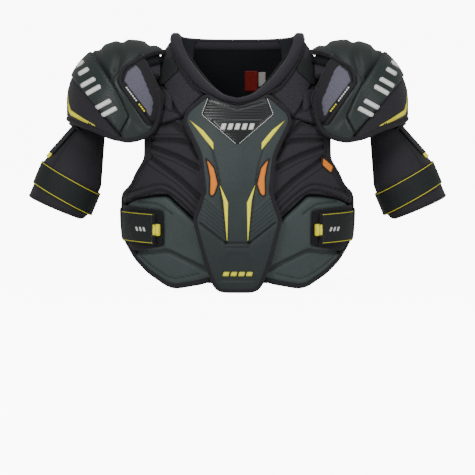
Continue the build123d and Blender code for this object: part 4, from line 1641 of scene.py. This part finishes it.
@dataclass(frozen=True)
class CapPiece:
    """A piece of a cap, cut from its bell by an outline as seen from the front."""

    name: str
    outline: tuple[Point, ...]
    finish: Finish
    inset: float = 0.0
    thick: float = 6.2
    shoulder: float = 5.0
    edge: float = 0.6
    grooves: tuple[Groove, ...] = ()
    plateaus: tuple[Plateau, ...] = ()
    cut_out: tuple[tuple[Point, ...], ...] = ()
    front_only: bool = False
    levels: int = 6
    corner: float = 8.0
    spare: float = 0.0

    def build(self) -> bmesh.types.BMesh:
        """Cuts, shapes and closes the piece, in metres, on the wearer's left.

        Returns:
            The closed piece.
        """
        bm, point, normal = CAP.ball(self.levels)
        outline = resample(soften(self.outline, self.corner), 2.0, True)
        holes = [resample(soften(hole, 6), 2.0, True) for hole in self.cut_out]
        for vert, spot in zip(bm.verts, point):
            vert.co = spot
        centre = np.array([face.calc_center_median()[:] for face in bm.faces])
        seen = centre[:, [0, 2]]
        keep = inside(seen, outline) & (TORSO.clearance(centre, CAP.clear + self.spare) > 0)
        ahead = centre[:, 1] < SEAM_Y - 20
        for hole in holes:
            keep &= ~(inside(seen, hole) & ahead)
        if self.front_only:
            keep &= ahead
        bmesh.ops.delete(bm, geom=[f for f, k in zip(bm.faces, keep) if not k], context="FACES")
        self.trim(bm, [outline] + holes)
        point, normal = CAP.settle(np.array([vert.co[:] for vert in bm.verts]))
        flat = point[:, [0, 2]]
        lines = [outline] + holes
        gap = np.min([nearest(flat, line, True)[0] for line in lines], axis=0)
        body_gap = TORSO.clearance(point, CAP.clear + self.spare) * 150
        gap = np.minimum(gap, np.maximum(body_gap, 0))
        t = np.clip(gap / self.shoulder, 0, 1)
        height = self.thick * (self.edge - 1) * (1 - np.sqrt(1 - (1 - t) ** 2))
        # The seam mask drives painted shade near the piece's edge and, at half strength, in its grooves.
        seam = 0.8 * (1 - ease(gap / 3.0))
        chart = PlainChart()
        for groove in self.grooves:
            drop, close = groove.drop(chart, flat)
            height -= drop
            seam = np.maximum(seam, close * 0.5)
        for plateau in self.plateaus:
            height += plateau.rise(chart, flat)
        outer = point + normal * (height - self.inset)[:, None]
        inner = point - normal * (self.inset + self.thick)
        uv = bm.loops.layers.uv.new("UVMap")
        mark = bm.verts.layers.float.new("seam")
        for vert, spot, close in zip(bm.verts, point, seam):
            vert[mark] = float(close)
            for loop in vert.link_loops:
                loop[uv].uv = (spot[0] * MM, spot[2] * MM)
        close_sheet(bm, outer, inner)
        return bm

    def trim(self, bm: bmesh.types.BMesh, lines: list[Array]) -> None:
        """Moves the cut edge onto the outlines or onto the torso's clearance.

        Args:
            bm: the piece, still a sheet.
            lines: its outline and the outlines of its holes.
        """
        rim = [vert for vert in bm.verts if vert.is_boundary]
        spots = np.array([vert.co[:] for vert in rim])
        near = [nearest(spots[:, [0, 2]], line, True) for line in lines]
        best = np.argmin([gap for gap, _ in near], axis=0)
        gap = np.choose(best, [g for g, _ in near])
        place = np.array([near[b][1][k] for k, b in enumerate(best)])
        clear = TORSO.clearance(spots, CAP.clear + self.spare)
        to_line = (gap < 5) & (np.abs(clear) * 150 > gap * 0.8)
        moved = spots.copy()
        moved[to_line, 0] = place[to_line, 0]
        moved[to_line, 2] = place[to_line, 1]
        local = moved - np.array([CAP.x, SEAM_Y, CAP.z])
        reach = CAP.radius**2 - local[:, 0] ** 2 - np.maximum(local[:, 2], 0) ** 2
        depth = np.sqrt(np.maximum(reach, 0)) * np.sign(local[:, 1])
        moved[to_line, 1] = (SEAM_Y + depth)[to_line]
        for _ in range(4):
            s = TORSO.clearance(moved, CAP.clear + self.spare)
            grad = np.stack([
                (TORSO.clearance(moved + step, CAP.clear + self.spare) - s) / 0.5
                for step in np.eye(3) * 0.5
            ], axis=1)
            push = -s[:, None] * grad / np.maximum((grad**2).sum(axis=1), 1e-9)[:, None]
            push = np.where((~to_line & (np.abs(s) * 150 < 8))[:, None], push, 0)
            moved = CAP.settle(moved + push)[0]
        for vert, spot in zip(rim, moved):
            vert.co = spot
        free = [vert for vert in bm.verts if not vert.is_boundary]
        bmesh.ops.smooth_vert(bm, verts=free, factor=0.5, use_axis_x=True, use_axis_y=True, use_axis_z=True)

    def publish(
        self, side: Side, slot: str, nodes: Sequence[str] = (), fill: float | None = None, body: str = "",
    ) -> bpy.types.Object:
        """Builds the piece for one side and gives it to the frame."""
        name, rides = f"{self.name}_{side.tag}", body or f"cap_{side.tag}"
        return publish(self.build(), name, self.finish, rides, nodes, side is Side.RIGHT)


def over_cap(path: Sequence[Point], lift: float, rear: bool = False, corner: float = 8.0,
    closed: bool = False) -> tuple[Array, Array]:
    """Draws a line on a cap as seen from the front.

    Args:
        path: the line's corners.
        lift: how far off the bell it runs.
        rear: True to draw it on the back of the bell.
        corner: how far its corners are rounded.
        closed: True if it closes on itself.

    Returns:
        The line's points and the bell's normals there.
    """
    seen = resample(soften(path, corner, closed), 1.5, closed)
    local_x, local_z = seen[:, 0] - CAP.x, np.maximum(seen[:, 1] - CAP.z, 0)
    reach = CAP.radius**2 - local_x**2 - local_z**2
    depth = np.sqrt(np.maximum(reach, 0))
    y = SEAM_Y + (depth if rear else -depth)
    spots, normals = CAP.settle(np.stack([seen[:, 0], y, seen[:, 1]], axis=1))
    both = resample(np.hstack([spots + normals * lift, normals]), 3.0, closed)
    return both[:, :3], both[:, 3:] / np.linalg.norm(both[:, 3:], axis=1)[:, None]


@dataclass
class ShoulderCap:
    """A shoulder cap: moulded cover, cloth skirt, front flap, shell, lining and bindings."""

    rim: tuple[Point, ...] = (
        (124, 275), (133, 254), (153, 243), (173, 239), (203, 245), (229, 257), (252, 264), (269, 269.5),
    )
    outline: tuple[Point, ...] = ((108, 430), (108, 385), (135, 381), (153, 372), (140, 349), (127, 323),
        (121, 302), (124, 275), (133, 254), (153, 243), (173, 239), (203, 245), (229, 258), (272, 274),
        (300, 284), (300, 430),)
    flap: tuple[Point, ...] = ((158, 371), (181, 357), (189, 334), (141, 264), (120, 268), (112, 310),
        (150, 380))
    band: tuple[Point, ...] = ((234, 380), (193, 322), (171, 278), (186.5, 250.5), (265, 337.5),
        (279, 356), (255, 392))
    skirt: tuple[Point, ...] = ((300, 385), (266, 345), (188, 251), (178, 225), (300, 225))

    def cover(self, side: Side) -> None:
        """Builds the moulded cover with its humps, creases and raised band.

        Args:
            side: which side.
        """
        humps = tuple(Groove(path, 4.0, 10.0, 0.5, 14) for path in (((226, 405), (224, 372), (206, 342)),
            ((187, 410), (186, 378), (192, 350)), ((141, 410), (141, 384)),))
        crease = (
            Groove(((236.5, 383), (196, 324), (173.5, 279), (187, 247)), 3.0, 2.4, 0.8, 4),
            Groove(((192, 352), (200, 330)), 1.5, 3.0, 0.5, 4),
        )
        corner = Plateau(((170, 276), (183, 253), (160, 246), (150, 252)), 1.4, 3.0, 3)
        CapPiece("cap_cover", self.outline, GREEN, grooves=humps + crease, plateaus=(corner,),
            cut_out=(self.flap, self.skirt)).publish(side, "cap_moulding", (f"cap_cover_{side.tag}",), 0.8)
        CapPiece("cap_band", self.band, LINED, inset=-2.8, thick=4.4, edge=0.35, shoulder=2.0,
            corner=3).publish(side, "cap_moulding")

    def bars(self, side: Side) -> None:
        """Builds the plain pale bars, in slanted pairs, along the cover's band."""
        run, reach = np.array([0.61, 0.79]), np.array([0.79, -0.61])
        for k, (x, z, half) in enumerate(((207.0, 291.0, 13.0), (232.0, 325.0, 13.0), (249.0, 354.0, 9.5))):
            for pair in (-1, 1):
                middle = np.array([x, z]) + run * 7.5 * pair
                ends = [middle + run * (w + half * 0.16 * v) + reach * half * v
                        for w, v in ((-3.8, -1), (3.8, -1), (3.8, 1), (-3.8, 1))]
                bar = tuple((float(spot[0]), float(spot[1])) for spot in ends)
                CapPiece(f"cap_bar_{k}{'ab'[pair > 0]}", bar, PALE, inset=-3.8, thick=1.6, edge=0.4,
                    shoulder=1.2, corner=1.0, front_only=True).publish(side, "cap_moulding")

    def tip(self, side: Side) -> None:
        """Builds the soft pad on the tip of the shoulder, which the cap hides."""
        outline = ((112, 350), (158, 350), (158, 400), (112, 400))
        CapPiece("shoulder_tip_pad", outline, KNIT, inset=15.6, thick=9.6, edge=0.55, shoulder=6.0, corner=2,
                 spare=-2.4).publish(
            side, "mesh_fabric", (f"shoulder_tip_pad_{side.tag}",), 0.6, "vest")

    def build(self, side: Side) -> None:
        """Builds one cap.

        Args:
            side: which side.
        """
        tag = side.tag
        self.cover(side)
        self.bars(side)
        self.tip(side)
        piece = ((300, 383), (267.5, 344), (190, 251), (181, 236), (203, 245), (229, 258), (272, 274),
            (300, 284))
        CapPiece("cap_skirt", piece, SKIRT, thick=5.6, edge=0.7, levels=6, corner=3).publish(
            side, "dark_fabric", (f"cap_skirt_{tag}",), 0.5)
        flap = ((155, 371), (180, 356), (187, 333), (140, 266), (122, 270), (114, 308), (146, 372))
        CapPiece("cap_front_flap", flap, DARK, thick=6.0, edge=0.5, shoulder=7.0, front_only=True).publish(
            side, "grey_fabric", (f"cap_front_flap_{tag}",), 0.6)
        face = ((160.8, 362), (176, 350), (181, 338), (180, 331), (147, 288), (137, 270), (131, 300),
            (154, 355))
        CapPiece("cap_flap_face", face, FLAP, inset=-0.9, thick=2.4, edge=0.3, shoulder=4.0,
            front_only=True, corner=5).publish(side, "grey_fabric", fill=0.5)
        strip = ((180.5, 333), (185.5, 328), (149, 280), (143, 286))
        CapPiece("cap_flap_strip", strip, DARK, inset=-2.1, thick=1.8, edge=0.4, shoulder=1.5,
            front_only=True, corner=1.5).publish(side, "binding")
        lining = ((108, 430), (108, 374), (135, 367), (148, 360)) + self.outline[4:]
        CapPiece("cap_lining", lining, LINING, inset=9.9, thick=3.9, edge=0.5, shoulder=4, levels=5).publish(
            side, "dark_fabric", (f"cap_lining_{tag}",), 0.5)
        for name, ends, finish in (("cap_flap_mark", ((176.5, 324), (160, 302)), PALE),
            ("cap_flap_tip", ((157, 298), (148, 286)), YELLOW),):
            bm = stitched(*over_cap(ends, 2.3), 4.2, 2.8, 2.0)
            publish(bm, f"{name}_{tag}", finish, f"cap_{tag}", mirrored=side is Side.RIGHT)
        self.edges(side)

    def edges(self, side: Side) -> None:
        """Builds the rim binding, the flap's piping and the yellow wedge.

        Args:
            side: which side.
        """
        tag, body, mirrored = side.tag, f"cap_{side.tag}", side is Side.RIGHT
        front = list(reversed(self.rim))
        path = [(276.6, 274.0)] + front + [(121, 302), (127, 323)]
        spots, normals = over_cap(path, -7.5)
        rear, rear_normals = over_cap([(276.6, 274.0)] + front + [(124, 282)], -7.5, True)
        spots = np.vstack([rear[::-1], spots[1:]])
        normals = np.vstack([rear_normals[::-1], normals[1:]])
        publish(swept(spots, normals, 8.5, 17.5, False, 14, 0.6), f"cap_rim_tape_{tag}", DARK, body,
            mirrored=mirrored)
        spots, normals = over_cap(((150, 374), (158, 368), (181, 355), (187.5, 333), (140, 265)), 0.4)
        publish(swept(spots, normals, 5.5, 4.0, False, 10), f"cap_flap_tape_{tag}", DARK, body,
            mirrored=mirrored)
        for rear in (False, True):
            spots, normals = over_cap(((109, 386), (135, 382), (154, 373)), -3.4, rear)
            name = f"cap_inner_tape_{'rear' if rear else 'front'}_{tag}"
            publish(swept(spots, normals, 6.0, 8.0, False, 12), name, DARK, body,
                mirrored=mirrored)
        drop = np.linspace(0, 1, 12)[:, None]
        spots = np.array([264.8, -0.8, 262.0]) * (1 - drop) + np.array([261.5, -0.8, 292.0]) * drop
        loop = swept(spots, np.tile([1.0, 0.0, 0.11], (12, 1)), 24.0, 2.3, False, 10, 0.35)
        publish(loop, f"hanger_loop_{tag}", STRAP, body, mirrored=mirrored)
        wedge = ((220, 260), (246, 269), (269, 279.5), (271.8, 285), (273.6, 300), (275.5, 328),
            (272, 300), (268, 288), (246, 274.5))
        CapPiece("cap_wedge", wedge, YELLOW, inset=-1.4, thick=2.0, edge=0.4, shoulder=1.5,
            corner=1.5).publish(side, "yellow_trim")


# ------------------------------------------------------------------ arm guards


ARM = ArmChart()


@dataclass
class ArmGuard:
    """An upper-arm guard: pad, lining, strap with its hooked end, and hanger."""

    start: float = -78.0
    stop: float = 112.0
    bottom: float = -172.0
    strap_top: float = -118.0
    strap_width: float = 38.0
    strap_tilt: float = 6.4

    def shell(self, side: Side) -> None:
        """Builds the guard's pad, lining and binding.

        Args:
            side: which side.
        """
        tag, body = side.tag, f"guard_{side.tag}"
        outline = ((self.start, -12), (self.start, self.bottom + 18), (self.start + 20, self.bottom),
                   (self.stop - 10, self.bottom), (self.stop, self.bottom + 10), (self.stop, -12))
        seams = (
            Groove(((self.start + 12, -12), (self.start + 12, -160)), 1.0, 1.6, 0.4, 4),
            Groove(((46, -30), (40, -112)), 0.8, 2.0, 0.5, 4),
        )
        Panel("guard_pad", ARM, outline, GUARD, base=-4.9, thick=4.8, edge=0.5, shoulder=6.0, crown=0.0,
            ripple=0.3, corner=6.0, step=2.6, grooves=seams).publish(body, "guard_fabric",
            (f"guard_pad_{tag}",), 0.6, side)
        Panel("guard_lining", ARM, outline, LINING, base=-10.0, thick=2.4, edge=0.6, shoulder=3.0,
            crown=0.0, ripple=0.2, corner=6.0, step=4.0).publish(body, "dark_fabric",
            (f"guard_lining_{tag}",), 0.4, side)
        tape = ((self.start + 2, -20), (self.start + 2, self.bottom + 18), (self.start + 20, self.bottom + 2),
                (self.stop - 10, self.bottom + 2), (self.stop - 2, self.bottom + 10), (self.stop - 2, -20))
        Trim("guard_tape", ARM, tape, DARK, lift=-4.6, width=7.0, thick=10.4).publish(body, "binding",
            side=side)

    def tilted(self, first: float, last: float, level: float) -> tuple[Point, ...]:
        """A row of points round the arm that lies higher on the outer side."""
        turns = np.linspace(first, last, 2 + int((last - first) / 12))
        return tuple((float(t), level + self.strap_tilt * math.sin(math.radians(t))) for t in turns)

    def strap(self, side: Side) -> None:
        """Builds the strap's fixed band, hooked flap and yellow edges.

        Args:
            side: which side.
        """
        tag = side.tag
        low = self.strap_top - self.strap_width
        for name, first, last, body, node in (
            ("arm_strap_flap", -83.0, 104.0, f"arm_strap_{tag}", f"arm_strap_flap_{tag}"),
            ("arm_strap_band", 106.0, 275.0, f"guard_{tag}", f"arm_strap_band_{tag}"),
        ):
            top, foot = self.tilted(first, last, self.strap_top), self.tilted(first, last, low)
            outline = top + foot[::-1]
            Panel(name, ARM, outline, STRAP, base=0.4, thick=2.1, edge=0.7, shoulder=1.5, crown=0.0,
                ripple=0.15, corner=0.8, step=2.6).publish(body, "strap_webbing", (node,), side=side)
            for edge, level in (("top", self.strap_top - 1.2), ("low", low + 1.2)):
                row = self.tilted(first + 1, last - 1, level)
                Trim(f"{name}_thread_{edge}", ARM, row, THREAD, lift=2.5, width=1.1, thick=0.9,
                    square=1.0).publish(body, "yellow_trim", side=side)

    def hanger(self, side: Side) -> None:
        """Builds the strap that hangs the guard from its ring, with its yellow end.

        Args:
            side: which side.
        """
        tag, body, mirrored = side.tag, f"guard_{side.tag}", side is Side.RIGHT
        angle = 72.0
        path = [(angle, z) for z in (-33.0, -94.0)]
        spots, normals = along(ARM, path, 1.75, 4.0)
        bm = swept(spots, normals, 24.5, 2.3, False, 12, 0.35)
        publish(bm, f"guard_hanger_{tag}", STRAP, body, (f"guard_hanger_{tag}",),
            mirrored=mirrored)
        spots, normals = along(ARM, [(angle, -93.5), (angle, -102.0)], 1.75, 2.0)
        bm = swept(spots, normals, 17.0, 2.3, False, 12, 0.4)
        publish(bm, f"guard_hanger_tab_{tag}", YELLOW, body, (f"guard_hanger_tab_{tag}",),
            mirrored=mirrored)

    def build(self, side: Side) -> None:
        """Builds one guard.

        Args:
            side: which side.
        """
        self.shell(side)
        self.strap(side)
        self.hanger(side)


# ------------------------------------------------------------------ the hard parts that stay


def dress_frame() -> None:
    """Gives the hard CAD pieces that stay their plastic."""
    for name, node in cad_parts.items():
        if name.startswith(("cap_shell", "guard_plate", "hanger_ring", "sternum_insert", "spine_insert")):
            node.data.materials.clear()
            node.data.materials.append(PLASTIC.material())


@dataclass
class Studio:
    """The floor, lights and camera."""

    distance: float = 4.0
    elevation: float = math.radians(3.0)
    aim: float = 0.084
    view: float = 0.760
    ambient: float = 0.42
    white: float = 9.0

    def light(self, name: str, place: tuple[float, float, float], size: float, power: float) -> None:
        """Adds a soft area light that looks at the pads.

        Args:
            name: the light's name.
            place: where it stands, in metres.
            size: how wide it is.
            power: its strength, in watts.
        """
        data = bpy.data.lights.new(name, "AREA")
        data.shape, data.size, data.energy = "DISK", size, power
        lamp = bpy.data.objects.new(name, data)
        lamp.location = place
        lamp.rotation_euler = (Vector((0, 0, 0.2)) - Vector(place)).to_track_quat("-Z", "Y").to_euler()
        bpy.context.scene.collection.objects.link(lamp)

    def floor_material(self) -> bpy.types.Material:
        """A white floor that takes soft shadows and looks as bright as the sky.

        Returns:
            The material.
        """
        material = bpy.data.materials.new("pale floor")
        material.use_nodes = True
        graph = Graph(material.node_tree)
        shader = material.node_tree.nodes["Principled BSDF"]
        shader.inputs["Base Color"].default_value = (0.93, 0.93, 0.93, 1)
        shader.inputs["Roughness"].default_value = 0.95
        shader.inputs["Specular IOR Level"].default_value = 0.0
        bright = graph.add("Emission", Color=(1, 1, 1, 1), Strength=self.white)
        both = graph.add("AddShader", i0=shader.outputs[0], i1=bright.outputs[0])
        seen = graph.add("LightPath").outputs["Is Camera Ray"]
        mixed = graph.add("MixShader", i0=seen, i1=shader.outputs[0], i2=both.outputs[0])
        end = material.node_tree.nodes["Material Output"]
        material.node_tree.links.new(mixed.outputs[0], end.inputs["Surface"])
        return material

    def sky(self) -> bpy.types.World:
        """An even soft light from all round, seen as white.

        Returns:
            The world.
        """
        world = bpy.data.worlds.new("studio")
        world.use_nodes = True
        graph = Graph(world.node_tree)
        seen = graph.add("LightPath").outputs["Is Camera Ray"]
        strength = graph.math("MULTIPLY_ADD", seen, self.white, self.ambient)
        ground = world.node_tree.nodes["Background"]
        ground.inputs["Color"].default_value = (1, 1, 1, 1)
        world.node_tree.links.new(strength, ground.inputs["Strength"])
        return world

    def build(self) -> None:
        """Builds the studio."""
        bm = bmesh.new()
        bmesh.ops.create_grid(bm, x_segments=1, y_segments=1, size=30)
        mesh = bpy.data.meshes.new("floor")
        bm.to_mesh(mesh)
        bm.free()
        floor = bpy.data.objects.new("floor", mesh)
        bpy.context.scene.collection.objects.link(floor)
        mesh.materials.append(self.floor_material())
        bpy.context.scene.world = self.sky()
        self.light("key", (-1.3, -2.6, 1.9), 1.2, 52)
        self.light("fill", (1.9, -2.2, 1.4), 1.3, 26)
        self.light("top", (0.2, -0.9, 2.8), 1.6, 16)
        data = bpy.data.cameras.new("camera")
        data.lens_unit = "FOV"
        data.angle = 2 * math.atan(self.view / 2 / self.distance)
        data.clip_end = 100
        camera = bpy.data.objects.new("camera", data)
        bpy.context.scene.collection.objects.link(camera)
        target = Vector((0, -0.06, self.aim))
        back = Vector((0, -math.cos(self.elevation), math.sin(self.elevation)))
        camera.location = target + back * self.distance
        camera.rotation_euler = (-back).to_track_quat("-Z", "Y").to_euler()
        bpy.context.scene.camera = camera


def main() -> None:
    """Builds the pads."""
    logging.basicConfig(level=logging.INFO, format="%(name)s: %(message)s")
    Studio().build()
    dress_frame()
    VestFront().build()
    Yoke().build()
    VestBack().build()
    for side in Side:
        SideStrap().build(side)
        ShoulderCap().build(side)
        ArmGuard().build(side)


if __name__ == "__main__":
    main()
